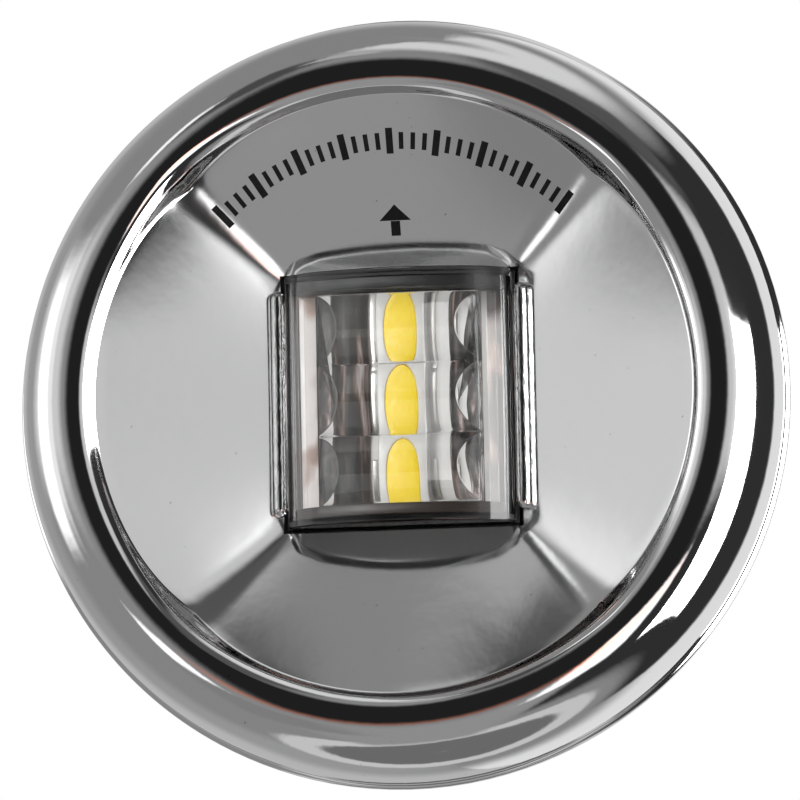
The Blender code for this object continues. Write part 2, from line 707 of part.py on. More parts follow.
def make_driver_parts(light):
    """The supply circuit: reverse-polarity diode, filter capacitor, choke, driver, resistors."""
    resin = paint("black_resin", (0.03, 0.03, 0.03), 0.5)
    sleeve = paint("capacitor_can", (0.7, 0.7, 0.72), 0.3, metallic=1.0)
    choke = paint("ferrite", (0.08, 0.08, 0.085), 0.6)
    boxes = {
        "driver_chip": (-7.5, 8.5, 3.0, 2.5, 1.7, resin),
        "rectifier_diode": (8.0, -6.0, 2.3, 1.8, 2.3, resin),
        "sense_resistor": (-3.0, -6.5, 1.6, 0.8, 0.6, resin),
        "load_resistor": (-8.0, -10.5, 3.2, 1.6, 0.7, resin),
        "filter_choke": (1.5, -12.0, 3.0, 3.0, 3.2, choke),
    }
    for name, (x, y, half_x, half_y, tall, material) in boxes.items():
        mesh = block_mesh(name, (x - half_x, y - half_y, PART_FLOOR),
                          (x + half_x, y + half_y, PART_FLOOR + tall))
        light.add(name, mesh, material)
    can = rod_mesh("can", 3.1, PART_FLOOR, PART_FLOOR + 5.4, 4.0, 12.0, 24)
    light.add("capacitor", can, sleeve)


def make_board_leads(light):
    """Two stiff tinned wires that carry the current from the driver to the LED board."""
    tin = paint("tinned_copper", (0.8, 0.8, 0.8), 0.3, metallic=1.0)
    for side, word in ((-1, "negative"), (1, "positive")):
        mesh = rod_mesh("lead", LEAD_RADIUS, PART_FLOOR, BOARD_BACK - GAP,
                        side * LEAD_X, LEAD_Y, 10)
        light.add(f"board_lead_{word}", mesh, tin)


def main():
    remove_old_objects()
    light = Light()
    make_bezel(light)
    make_housing(light)
    make_gasket(light)
    make_mounting_screws(light)
    make_bezel_clips(light)
    make_cable_grommet(light)
    make_lens_cover(light)
    make_lens_seal(light)
    make_lens_frame(light)
    make_frame_screws(light)
    make_carrier(light)
    make_housing_seal(light)
    make_optic(light)
    make_leds(light)
    make_led_board(light)
    make_driver_board(light)
    make_driver_parts(light)
    make_board_leads(light)


main()
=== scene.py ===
"""The looks of the round stern light: fine meshes, materials, studio light and the camera.

Lengths are in millimetres times MM.  Shapes are drawn facing up, as x right, y top and z
forward, and UPRIGHT turns each mesh so that its front looks along -Y and its top along +Z.
"""

import json
from math import atan2, cos, hypot, pi, radians, sin, sqrt, tan

import bmesh
import bpy
from mathutils import Matrix, Vector, noise


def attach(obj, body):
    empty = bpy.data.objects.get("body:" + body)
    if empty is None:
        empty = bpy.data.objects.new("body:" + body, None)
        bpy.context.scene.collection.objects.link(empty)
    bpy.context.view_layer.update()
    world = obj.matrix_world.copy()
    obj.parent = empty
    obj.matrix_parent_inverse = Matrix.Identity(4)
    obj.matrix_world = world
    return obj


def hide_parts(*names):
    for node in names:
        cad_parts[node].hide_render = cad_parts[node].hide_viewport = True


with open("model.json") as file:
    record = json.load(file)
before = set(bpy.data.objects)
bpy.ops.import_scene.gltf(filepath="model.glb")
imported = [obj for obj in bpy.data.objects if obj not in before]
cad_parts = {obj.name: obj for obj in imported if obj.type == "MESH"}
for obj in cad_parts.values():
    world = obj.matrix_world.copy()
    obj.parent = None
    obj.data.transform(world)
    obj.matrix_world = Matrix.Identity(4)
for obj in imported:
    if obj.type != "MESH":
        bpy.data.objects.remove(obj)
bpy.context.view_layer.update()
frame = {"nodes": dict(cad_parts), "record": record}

MM = 0.001
UPRIGHT = Matrix.Rotation(radians(90), 4, "X")
BASE = "base"
COVER = "bezel_cover"
SIDES = ((-1, "left"), (1, "right"))

# The bezel's driving sizes, as in the CAD
BEZEL_RADIUS = 41.5
BEZEL_FOOT = 0.5
LIP_TOP = 1.2
DOME_RADIUS = 41.0
DOME_FOOT = 1.7
CREST_RADIUS = 34.4
CREST_HEIGHT = 10.9
RING_RADIUS = 32.0
SHEET = 0.8
WINDOW_HALF_WIDTH = 12.9
WINDOW_HALF_HEIGHT = 13.95
WINDOW_LEVEL = 2.0
RING_HEIGHT = 9.6
BEAD_X = 13.1
BEAD_LEVEL = 2.8
BEAD_RADIUS = 0.85
BEAD_HALF = 12.2

# The lens group, as in the CAD
LENS_HALF_WIDTH = 12.15
LENS_HALF_HEIGHT = 13.6
LENS_FRONT = 7.8
LENS_SHOULDER_X = 9.3
LENS_SHOULDER_LEVEL = 6.2
LENS_CORNER_X = 10.8
LENS_CORNER_LEVEL = 5.25
LENS_WALL = 0.85
PLINTH_HALF_WIDTH = 12.5
PLINTH_FRONT = 2.1
LENS_FLANGE_HALF_WIDTH = 15.0
LENS_FLANGE_HALF_HEIGHT = 17.0
LENS_FLANGE_FRONT = -0.8
LENS_FLANGE_BACK = -2.4
LED_PITCH = 7.5
OPTIC_BACK = 1.1
OPTIC_PLATE_FRONT = 2.1
OPTIC_HALF_WIDTH = 8.6
OPTIC_HALF_HEIGHT = 11.2
OPTIC_PLATE_HALF_WIDTH = 10.2
LOBE_VALLEY = 3.4
LOBE_CREST = 5.7
LOBE_CREST_HALF_WIDTH = 6.3
LED_SIZE = 5.0
LED_BACK = -1.1
BOARD_FRONT = -1.4
LED_ROWS = (LED_PITCH, 0.0, -LED_PITCH)
BOARD_HALF_WIDTH = 8.6
BOARD_HALF_HEIGHT = 11.2
BOARD_BACK = -2.6
PAD_HALF_WIDTH = 0.3
PAD_HALF_HEIGHT = 1.3
CARRIER_RADIUS = 27.0
CARRIER_FRONT = -4.0
CARRIER_BACK = -6.0
MOUTH_HALF_WIDTH = 9.0
MOUTH_HALF_HEIGHT = 11.5
TRAY_HALF_WIDTH = 11.0
TRAY_HALF_HEIGHT = 12.1
TRAY_FRONT = 0.6
TRAY_PAINTED_SHADE = -9.0          # how fast the tray darkens towards the right as painted shade, per metre
RIBS = ((-1, "left", -5.25, 1.85), (1, "right", 6.0, 1.5))       # middle and half width
RIB_HEIGHT = 1.5
RIB_HALF_LENGTH = 11.0
RIB_WAVE = 0.45
RIB_WAVES = (420, 300, 260)   # noise per metre across, forward and up
LED_FRONT = 0.4
PHOSPHOR_RADIUS = 1.65
PHOSPHOR_REACH = 0.45          # how far each half of the fill is moved along the column

# Housing, frame and fixings, as in the CAD
CAD_GAP = 0.3                 # the CAD's air between pieces that touch on the real light
FLANGE_RADIUS = 39.4
FLANGE_BACK = 1.3
FLANGE_FRONT = 3.1
CUP_RADIUS = 29.4
CUP_BORE = 27.4
LOWER_BORE = 25.6
LEDGE = -7.6
FLOOR_FRONT = -22.0
FLOOR_BACK = -24.0
CABLE_HOLE_RADIUS = 4.0
BOSS_RADIUS = 3.0
BOSS_PLACE = 23.2
BOSS_HOLE_END = -15.0
STANDOFF_RADIUS = 2.6
STANDOFF_X = 13.0
STANDOFF_Y = 6.0
STANDOFF_TOP = -14.9
MOUNT_SCREW_PLACE = 35.2
MOUNT_HOLE_RADIUS = 2.1
MOUNT_SCREW_ANGLES = (90, 210, 330)
CLIP_ANGLES = (30, 150, 270)
CLIP_WIDTH = 6.0
CLIP_SHEET = 0.4
RIVET_PLACE = 36.0
GASKET_INNER = 30.6
GASKET_OUTER = 39.6
GASKET_FRONT = 1.0
FRAME_RADIUS = 27.0
FRAME_FRONT = 0.8
FRAME_BACK = -3.7
DRIVER_FRONT = -13.0
CUP_GROOVES = 24
FLOOR_SINK = 0.6
FLOOR_RIBS = 12
SEAT_RADIUS = 3.9
PILOT_RADIUS = 1.4
RIVET_HOLE_RADIUS = 1.1
PIN_MARK_PLACE = 19.5
WIRE_BORE_RADIUS = 1.1
WIRE_PLACE = 1.7
POINT_RADIUS = 0.02
STRIP_BEND = 0.7              # how far a bent strip's corners are drawn out

# Parts on the driver board: places, then the boxes' half sizes and height
CHIP_X = -7.5
CHIP_Y = 8.5
CHOKE = (1.5, -12.0)
CAPACITOR = (4.0, 12.0)
BOXED_PARTS = [
    ("diode_body", "rectifier_diode", 8.0, -6.0, 2.3, 1.8, 2.3),
    ("sense_chip", "sense_resistor", -3.0, -6.5, 1.25, 0.8, 0.6),
    ("load_chip", "load_resistor", -8.0, -10.5, 2.6, 1.6, 0.7),
]

# Printed marks on the upper facet
INK_THICKNESS = 0.012
MARK_COUNT = 33
MARK_SPREAD = 42.5
MARK_RADIUS = 27.2
MARK_LONG = (0.75, 2.6)       # width and height
MARK_SHORT = (0.5, 1.7)
ARROW_FOOT = 17.6
ARROW_STEM = 1.0
ARROW_WIDTH = 3.4

# Camera: how far it stands to the right of the light's axis and below it
CAMERA_RIGHT = 8.0
CAMERA_BELOW = 8.0
CAMERA_DISTANCE = 620.0
CAMERA_ROLL = 1.1
FRAME_WIDTH = 85.75
AIM_X = -0.45
AIM_Y = 0.35

# The studio, in degrees and metres
DISH_ROUGHNESS = 0.07         # added to the steel's roughness inside the crest
LAMP_DISTANCE = 0.5
STRIP_RADIANCE = 3.2
END_RADIANCE = 2.0
INSIDE_RADIANCE = 14.0
FLOOR_HALF = 3.0
FLOOR_LEVEL = -0.16
FLOOR_GLOW = 0.45
BEHIND_COVER = ("led_", "phosphor_fill", "solder_pad", "carrier_", "end_wall")
WARM_ACROSS = (-28, 28)       # a brown reflection low in front
WARM_UP = (-21, -14)
WARM_TINT = (0.8, -0.15, -0.35)

# Each panel is (brightness, azimuth range, softness, elevation range, softness), in degrees.
# Azimuth 0 is straight in front of the light and grows to the right as one looks at its face,
# elevation grows up.  A later panel covers the earlier ones.  Through the clear cover the studio
# is LENS_LIGHT times as bright, but no brighter than LENS_CAP.
STUDIO_GREY = 0.26
LENS_LIGHT = 1.4
LENS_CAP = 0.9
PANELS = [
    (0.34, (-180, -110), 30, (-90, 90), 10),  # behind, to the left
    (0.50, (-190, -140), 20, (-40, 50), 20),  # white sweep behind the light
    (0.16, (-181, 181), 10, (-90, -66), 4),  # table top under the light
    (0.60, (-181, 181), 10, (-68, -60), 3),  # the table's lit edge
    (0.25, (-181, 181), 10, (40, 91), 30),  # ceiling
    (0.70, (-30, 175), 14, (62, 84), 14),  # overhead strip
    (0.66, (-110, -38), 18, (-2, 27), 14),  # left soft box
    (0.92, (-100, -58), 8, (-8, 27), 12),  # its brighter left part
    (1.60, (-96, -72), 10, (-12, 24), 10),  # its lamp
    (0.03, (20, 132), 8, (-52, 52), 10),  # black cloth on the right
    (0.60, (25, 52), 8, (-6, 34), 13),  # pale card this side of the soft box
    (0.80, (41, 56), 12, (-4, 18), 12),  # its bright edge
    (0.09, (4, 60), 14, (38, 60), 8),  # dark gap between the lamps, right
    (0.07, (-44, -24), 10, (36, 58), 8),  # dark gap between the lamps, left
    (7.00, (48, 90), 2, (-38, 17), 3),  # right soft box
    (0.80, (133, 181), 5, (-45, 45), 20),  # white sweep, right
    (0.30, (-34, 16), 14, (-66, -27), 8),  # grey floor in front
    (0.23, (-50, -18), 12, (-46, -28), 6),  # the floor's darker left
    (0.42, (-30, -15), 6, (52, 60), 3),  # pale card overhead
    (0.015, (-22, 26), 14, (-19, 38), 14),  # the dark of the camera's side
    (1.60, (10, 30), 6, (-33, -13), 5),  # small reflector, lower right
    (1.40, (-46, -34), 5, (-27, -17), 5),  # small reflector, lower left
    (1.10, (-48, -41), 4, (33, 46), 5),  # small reflector, upper left
]


# ------------------------ mesh helpers

def new_object(name, data):
    thing = bpy.data.objects.new(name, data)
    bpy.context.scene.collection.objects.link(thing)
    return thing


def smooth_object(name, bm):
    mesh = bpy.data.meshes.new(name)
    bm.to_mesh(mesh)
    bm.free()
    mesh.shade_smooth()
    return new_object(name, mesh)


def mesh_object(name, bm, smooth_angle=30.0):
    """Turns a face-up bmesh upright and makes it an object, shaded smooth but for its edges."""
    bmesh.ops.transform(bm, matrix=UPRIGHT, verts=bm.verts)
    piece = smooth_object(name, bm)
    piece.data.set_sharp_from_angle(angle=radians(smooth_angle))
    return piece


def settle(piece, smooth_angle=30.0):
    """Applies a piece's modifiers to its mesh."""
    graph = bpy.context.evaluated_depsgraph_get()
    mesh = bpy.data.meshes.new_from_object(piece.evaluated_get(graph))
    piece.modifiers.clear()
    piece.data = mesh
    mesh.shade_smooth()
    mesh.set_sharp_from_angle(angle=radians(smooth_angle))
    return piece


def combine(target, tool, operation, smooth_angle=30.0):
    """Joins or cuts one piece with another, and removes the other."""
    step = target.modifiers.new(operation.lower(), "BOOLEAN")
    step.operation = operation
    step.solver = "EXACT"
    step.object = tool
    settle(target, smooth_angle)
    bpy.data.objects.remove(tool)
    return target


def rounded(piece, width, segments=3, angle=40.0):
    """Rounds the piece's edges."""
    step = piece.modifiers.new("round", "BEVEL")
    step.width = width * MM
    step.segments = segments
    step.limit_method = "ANGLE"
    step.angle_limit = radians(angle)
    step.harden_normals = False
    return settle(piece)


def slab(name, half_width, half_height, back, front, x=0.0, y=0.0):
    """A block whose middle is at x, y."""
    size = Matrix.Diagonal((2 * half_width * MM, 2 * half_height * MM, (front - back) * MM, 1.0))
    middle = Matrix.Translation((x * MM, y * MM, (front + back) / 2 * MM))
    bm = bmesh.new()
    bmesh.ops.create_cube(bm, size=1.0, matrix=middle @ size)
    return mesh_object(name, bm)


def thicken(bm, faces, push):
    """Pushes a copy of some faces away and closes the sides, which makes them solid."""
    grown = bmesh.ops.extrude_face_region(bm, geom=faces)
    moved = [item for item in grown["geom"] if isinstance(item, bmesh.types.BMVert)]
    bmesh.ops.translate(bm, verts=moved, vec=[part * MM for part in push])
    bmesh.ops.recalc_face_normals(bm, faces=bm.faces)


def prism(name, outline, start, end, axis="y"):
    """An outline of (across, forward) points pushed along y or x."""
    bm = bmesh.new()
    flat = [(a, start, z) if axis == "y" else (start, a, z) for a, z in outline]
    corners = [bm.verts.new([part * MM for part in point]) for point in flat]
    run = end - start
    thicken(bm, [bm.faces.new(corners)], (0, run, 0) if axis == "y" else (run, 0, 0))
    return mesh_object(name, bm)


def tube(name, rings, smooth_angle):
    """A skin over rings of points, closed at both ends."""
    bm = bmesh.new()
    loops = [[bm.verts.new([part * MM for part in point]) for point in ring] for ring in rings]
    for first, second in zip(loops, loops[1:]):
        for k in range(len(first)):
            after = (k + 1) % len(first)
            bm.faces.new((first[k], second[k], second[after], first[after]))
    bm.faces.new(loops[0])
    bm.faces.new(loops[-1])
    bmesh.ops.recalc_face_normals(bm, faces=bm.faces)
    return mesh_object(name, bm, smooth_angle)


def spun(name, profile, steps=96, x=0.0, y=0.0):
    """A closed (radius, height) outline spun round an axis along z at x, y."""
    bm = bmesh.new()
    verts = [bm.verts.new((r * MM, 0, z * MM)) for r, z in profile]
    edges = [bm.edges.new((a, b)) for a, b in zip(verts, verts[1:] + verts[:1])]
    bmesh.ops.spin(bm, geom=verts + edges, cent=(0, 0, 0), axis=(0, 0, 1),
                   angle=2 * pi, steps=steps)
    bmesh.ops.remove_doubles(bm, verts=bm.verts, dist=0.002 * MM)
    bmesh.ops.dissolve_degenerate(bm, dist=0.001 * MM, edges=bm.edges)
    bare = [edge for edge in bm.edges if not edge.link_faces]
    bmesh.ops.delete(bm, geom=bare, context="EDGES")
    bmesh.ops.translate(bm, verts=bm.verts, vec=(x * MM, y * MM, 0))
    bmesh.ops.recalc_face_normals(bm, faces=bm.faces)
    return mesh_object(name, bm)


def joined(pieces):
    """Several upright pieces as one object of separate bodies, to add or cut at once."""
    bm = bmesh.new()
    for piece in pieces:
        bm.from_mesh(piece.data)
        bpy.data.objects.remove(piece)
    return smooth_object("joined", bm)


def rods(radius, back, front, places, steps=32):
    """A round rod at each of the places, to add or cut at once."""
    outline = [(0, front), (radius, front), (radius, back), (0, back)]
    return joined([spun("rod", outline, steps, x, y) for x, y in places])


def turned_about(piece, degrees):
    """Turns a piece about the light's axis."""
    piece.data.transform(Matrix.Rotation(radians(-degrees), 4, "Y"))
    return piece


def around(radius, degrees):
    angle = radians(degrees)
    return radius * cos(angle), radius * sin(angle)


def all_round(radius, count, first=0.0):
    """Evenly spaced places on a circle, from the first angle in degrees."""
    return [around(radius, first + 360 * index / count) for index in range(count)]


def arc(x, y, across, up, step, count, first=0):
    """Points of an ellipse round x, y, step degrees apart."""
    angles = [radians(first + step * index) for index in range(count)]
    return [(x + across * cos(angle), y + up * sin(angle)) for angle in angles]


def bend(start, corner, end, steps):
    """Points of a smooth bend from start to end, drawn towards the corner."""
    points = []
    for i in range(steps + 1):
        t = i / steps
        weights = ((1 - t) ** 2, 2 * t * (1 - t), t ** 2)
        points.append(tuple(sum(w * p[axis] for w, p in zip(weights, (start, corner, end)))
                            for axis in range(2)))
    return points


def mirrored(half):
    """A left-right symmetric outline from its right half, top point first."""
    return half + [(-x, z) for x, z in reversed(half) if x > 1e-9]


def softened(outline, reach, steps, keep_ends=False):
    """A closed outline with its corners rounded, but for the first and last if those are kept."""
    points = []
    for i, corner in enumerate(outline):
        if keep_ends and i in (0, len(outline) - 1):
            points.append(corner)
            continue
        here = Vector(corner)
        before = Vector(outline[i - 1]) - here
        after = Vector(outline[(i + 1) % len(outline)]) - here
        cut = min(reach, before.length * 0.45, after.length * 0.45)
        ends = [here + way.normalized() * cut for way in (before, after)]
        points += bend(ends[0], here, ends[1], steps)
    return points


def strip_outline(path, thickness):
    """The two sides of a bent strip whose middle runs along the path."""
    smooth = [path[0]]
    for before, corner, after in zip(path, path[1:], path[2:]):
        here = Vector(corner)
        ways = [Vector(other) - here for other in (before, after)]
        ends = [here + way.normalized() * min(STRIP_BEND, way.length * 0.45) for way in ways]
        smooth += bend(ends[0], here, ends[1], 6)
    smooth = [Vector(point) for point in smooth + [path[-1]]]
    left, right = [], []
    for i, point in enumerate(smooth):
        way = (smooth[min(i + 1, len(smooth) - 1)] - smooth[max(i - 1, 0)]).normalized()
        aside = Vector((-way.y, way.x)) * thickness / 2
        left.append(tuple(point + aside))
        right.append(tuple(point - aside))
    return left + right[::-1]


def place(piece, slot, material, *nodes, body=BASE):
    """Gives a piece its material and body, and hides the CAD nodes that it stands for; its slot is
    not used.
    """
    piece.data.materials.clear()
    piece.data.materials.append(material)
    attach(piece, body)
    if nodes:
        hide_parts(*nodes)
    return piece


# ------------------------ materials

class Nodes:
    """A short way to write a node tree.  A value that is another node's output is linked."""

    def __init__(self, owner):
        self.owner = owner
        owner.use_nodes = True
        self.tree = owner.node_tree
        self.shader = self.tree.nodes.get("Principled BSDF")

    def fill(self, node, **settings):
        """Sets a node's properties and inputs; an input is named with _ for each space."""
        for key, value in settings.items():
            if hasattr(node, key):
                setattr(node, key, value)
            else:
                self.feed(node.inputs[key.replace("_", " ")], value)

    def feed(self, socket, value):
        if isinstance(value, bpy.types.NodeSocket):
            self.tree.links.new(value, socket)
        else:
            socket.default_value = value

    def add(self, kind, output=0, **settings):
        """Adds a node and gives one of its outputs."""
        node = self.tree.nodes.new(kind)
        self.fill(node, **settings)
        return node.outputs[output]

    def set(self, **settings):
        self.fill(self.shader, **settings)

    def number(self, operation, *values):
        node = self.tree.nodes.new("ShaderNodeMath")
        node.operation = operation
        for socket, value in zip(node.inputs, values):
            self.feed(socket, value)
        return node.outputs[0]

    def smooth_step(self, value, start, end, top=1.0):
        return self.add("ShaderNodeMapRange", interpolation_type="SMOOTHSTEP", Value=value,
                        From_Min=start, From_Max=end, To_Max=top)

    def coordinates(self, scale=(1.0, 1.0, 1.0)):
        where = self.add("ShaderNodeTexCoord", "Object")
        return self.add("ShaderNodeMapping", Vector=where, Scale=scale)

    def noise(self, scale, detail=4.0, upright=1.0, roughness=0.5):
        """Noise of the given scale, drawn out along the light's height if upright is below 1."""
        return self.add("ShaderNodeTexNoise", Vector=self.coordinates((1.0, 1.0, upright)),
                        Scale=scale, Detail=detail, Roughness=roughness)

    def ramp(self, value, *stops):
        """A colour ramp.  Its stops are (position, grey or colour) pairs."""
        node = self.tree.nodes.new("ShaderNodeValToRGB")
        elements = node.color_ramp.elements
        while len(elements) < len(stops):
            elements.new(0.5)
        for element, (position, colour) in zip(elements, stops):
            element.position = position
            element.color = (*(colour if isinstance(colour, tuple) else [colour] * 3), 1.0)
        self.feed(node.inputs["Fac"], value)
        return node.outputs["Color"]

    def colour(self, value, *stops):
        self.set(Base_Color=self.ramp(value, *stops))

    def gloss(self, value, low, high, start=0.3, end=0.7):
        """Roughness between low and high, as the value goes from start to end."""
        self.set(Roughness=self.ramp(value, (start, low), (end, high)))

    def bump(self, height, distance):
        self.set(Normal=self.add("ShaderNodeBump", Height=height, Distance=distance))


def new_material(name):
    return Nodes(bpy.data.materials.new(name))


def polished_steel():
    """Polished sheet with faint orange peel and a few dark pits, less polished in the dish."""
    n = new_material("polished_steel")
    n.set(Metallic=1.0, IOR=2.5)
    n.colour(n.noise(1900.0, 2.0), (0.0, (0.16, 0.16, 0.17)), (0.215, (0.40, 0.40, 0.41)),
             (0.24, (0.86, 0.86, 0.87)), (1.0, (0.88, 0.88, 0.885)))
    radius = n.add("ShaderNodeVectorMath", "Value", operation="LENGTH",
                   Vector=n.coordinates((1.0, 0.0, 1.0)))
    dish = n.smooth_step(radius, RING_RADIUS * MM, (RING_RADIUS - 1.0) * MM, DISH_ROUGHNESS)
    cloud = n.ramp(n.noise(130.0, 3.0), (0.3, 0.035), (0.7, 0.075))
    n.set(Roughness=n.number("ADD", cloud, dish))
    n.bump(n.noise(420.0, 2.0), 0.000012)
    return n.owner


def bead_steel():
    """The same steel where the press has drawn it: fine streaks along the bead."""
    n = new_material("drawn_steel")
    n.set(Metallic=1.0)
    n.colour(n.noise(900.0, 2.0), (0.3, 0.8), (0.7, 0.9))
    n.gloss(n.noise(1500.0, 3.0, 0.3), 0.06, 0.2)
    n.bump(n.noise(2200.0, 3.0, 0.35), 0.00006)
    return n.owner


def clear_plastic(name, tint, roughness, wave):
    """Clear polycarbonate with the faint waviness of a moulded part."""
    n = new_material(name)
    n.set(Transmission_Weight=1.0, IOR=1.58, Base_Color=(*tint, 1.0))
    n.gloss(n.noise(260.0, 2.0), roughness, roughness * 2, 0.3, 0.8)
    n.bump(n.noise(160.0, 1.0), wave)
    return n.owner


def plain(name, colour, shade, roughness, grain, depth, metallic=0.0, **settings):
    """A surface whose colour drifts a little and whose gloss and grain come from noise."""
    n = new_material(name)
    n.set(Metallic=metallic, **settings)
    darker = tuple(part * shade for part in colour)
    n.colour(n.noise(grain * 0.15, 3.0), (0.3, darker), (0.7, colour))
    n.gloss(n.noise(grain * 0.5, 3.0), roughness * 0.8, min(1.0, roughness * 1.15))
    n.bump(n.noise(grain), depth)
    return n.owner


def pale_tray():
    """Pale moulding with broad warm patches, darkening to brown towards its right side as painted
    shade.
    """
    n = new_material("pale_tray")
    across = n.add("ShaderNodeSeparateXYZ", "X", Vector=n.coordinates())
    # Painted shade: the colour darkens from left to right across the tray.
    shaded_across = n.number("MULTIPLY_ADD", across, TRAY_PAINTED_SHADE, n.noise(230.0, 2.0, 0.6))
    n.colour(shaded_across, (0.38, (0.06, 0.035, 0.028)), (0.50, (0.42, 0.27, 0.21)),
             (0.60, (0.82, 0.77, 0.75)))
    n.gloss(n.noise(700.0), 0.25, 0.4)
    n.bump(n.noise(900.0), 0.00001)
    return n.owner


def streaked_rib():
    """Glossy dark moulding with painted silver glints and brown streaks along it."""
    n = new_material("streaked_rib")
    # Painted highlights: the light grey end of the ramp stands for glints along the rib.
    n.colour(n.noise(620.0, 3.0, 0.28, 0.6), (0.43, (0.006, 0.005, 0.005)),
             (0.54, (0.045, 0.032, 0.027)), (0.61, (0.30, 0.21, 0.18)), (0.69, (0.75, 0.74, 0.76)))
    n.gloss(n.noise(900.0), 0.38, 0.6)
    n.bump(n.noise(800.0, upright=0.4), 0.0001)
    return n.owner


def phosphor_paint():
    """Yellow silicone fill with a warm, slightly mottled body and a faint painted glow, though the
    LED is not lit.
    """
    n = new_material("phosphor_fill")
    n.colour(n.noise(2600.0, 3.0), (0.25, (0.98, 0.69, 0.012)), (0.75, (1.0, 0.80, 0.030)))
    n.gloss(n.noise(1500.0), 0.30, 0.5)
    # Painted glow: the fill gives off a little light of its own so that it looks brighter.
    n.set(Emission_Color=(1.0, 0.70, 0.02, 1.0), Emission_Strength=0.24)
    n.bump(n.noise(3200.0), 0.00002)
    return n.owner


# ------------------------ bezel

def facet_rise(half_size):
    return (RING_HEIGHT - WINDOW_LEVEL) / (RING_RADIUS - half_size)


SIDE_RISE = facet_rise(WINDOW_HALF_WIDTH)
END_RISE = facet_rise(WINDOW_HALF_HEIGHT)
CREASE_ROUND = 1.25
FACET_BOW = 0.0110            # how much each facet is dished across itself
CORNER_EASE = 0.9             # how much sooner the rim's wall starts at the dish's corners
CORNER_DROP = 2.4


def facet_height(x, y, soft=0.0):
    """Height of the dish.  The crease between two facets is rounded over a height of soft."""
    side = WINDOW_LEVEL + SIDE_RISE * (abs(x) - WINDOW_HALF_WIDTH)
    side += FACET_BOW * y * y * max(0.0, 1 - WINDOW_HALF_WIDTH / max(abs(x), 1e-6))
    end = WINDOW_LEVEL + END_RISE * (abs(y) - WINDOW_HALF_HEIGHT)
    end += FACET_BOW * x * x * max(0.0, 1 - WINDOW_HALF_HEIGHT / max(abs(y), 1e-6))
    if soft == 0.0 or abs(side - end) > soft:
        return max(side, end)
    blend = soft - abs(side - end)
    return max(side, end) + blend * blend / (4 * soft)


def crease_angle():
    slope = SIDE_RISE / END_RISE
    run = hypot(1, slope)
    ux, uy = 1 / run, slope / run
    along = WINDOW_HALF_WIDTH * ux + WINDOW_HALF_HEIGHT * uy
    aside = WINDOW_HALF_WIDTH ** 2 + WINDOW_HALF_HEIGHT ** 2 - RING_RADIUS ** 2
    reach = -along + sqrt(along ** 2 - aside)
    return atan2(WINDOW_HALF_HEIGHT + reach * uy, WINDOW_HALF_WIDTH + reach * ux)


def loft_stations(count):
    """(window point, ring angle) pairs once round, closest together near the creases."""
    corner = crease_angle()
    corners = [(1, -1, -corner), (1, 1, corner), (-1, 1, pi - corner),
               (-1, -1, pi + corner), (1, -1, 2 * pi - corner)]
    stations = []
    for start, end in zip(corners, corners[1:]):
        for step in range(count):
            even = step / count
            part = even - 0.88 * sin(2 * pi * even) / (2 * pi)
            x = WINDOW_HALF_WIDTH * (start[0] + (end[0] - start[0]) * part)
            y = WINDOW_HALF_HEIGHT * (start[1] + (end[1] - start[1]) * part)
            stations.append((x, y, start[2] + (end[2] - start[2]) * part))
    return stations


def wall_start(angle):
    """Radius where the rim's wall leaves the dish: a little further in at the corners."""
    x, y = RING_RADIUS * cos(angle), RING_RADIUS * sin(angle)
    drop = (RING_HEIGHT - facet_height(x, y)) / CORNER_DROP
    drop = max(0.0, min(1.0, drop))
    return RING_RADIUS - 0.2 - CORNER_EASE * drop * drop * (3 - 2 * drop)


def wall_point(start, height, rise, part):
    """The rim's inner wall: a curve from the edge of the dish up to the crest."""
    lead = 0.5 + 0.5 * (RING_RADIUS - 0.2 - start)
    steps = [(start, height), (start + lead, height + lead * rise),
             (CREST_RADIUS - 1.9, CREST_HEIGHT), (CREST_RADIUS, CREST_HEIGHT)]
    weights = [(1 - part) ** 3, 3 * part * (1 - part) ** 2, 3 * part ** 2 * (1 - part), part ** 3]
    return tuple(sum(w * p[i] for w, p in zip(weights, steps)) for i in range(2))


def dome_point(part):
    angle = pi / 2 * (1 - part)
    radius = CREST_RADIUS + (DOME_RADIUS - CREST_RADIUS) * cos(angle)
    return radius, DOME_FOOT + (CREST_HEIGHT - DOME_FOOT) * sin(angle)


def lip_points():
    """The small step and the upright lip at the skirt's foot, with rounded corners."""
    step = [(DOME_RADIUS + 0.02, DOME_FOOT - 0.12), (DOME_RADIUS + 0.12, DOME_FOOT - 0.24),
            (BEZEL_RADIUS - 0.18, LIP_TOP + 0.14), (BEZEL_RADIUS - 0.05, LIP_TOP + 0.06),
            (BEZEL_RADIUS, LIP_TOP - 0.08)]
    return step + [(BEZEL_RADIUS, BEZEL_FOOT + 0.1), (BEZEL_RADIUS - 0.03, BEZEL_FOOT + 0.02)]


def bezel_section(x, y, angle, facet_rows, wall_rows, dome_rows):
    start = wall_start(angle)
    ring_x, ring_y = start * cos(angle), start * sin(angle)
    points = []
    for row in range(facet_rows + 1):
        part = row / facet_rows
        px, py = x + (ring_x - x) * part, y + (ring_y - y) * part
        points.append((px, py, facet_height(px, py, CREASE_ROUND)))
    height = points[-1][2]
    rise = (height - facet_height(0.98 * ring_x, 0.98 * ring_y, CREASE_ROUND)) / (0.02 * start)
    rim = [wall_point(start, height, rise, (i + 1) / wall_rows) for i in range(wall_rows)]
    rim += [dome_point((i + 1) / dome_rows) for i in range(dome_rows)] + lip_points()
    return points + [(r * cos(angle), r * sin(angle), z) for r, z in rim]


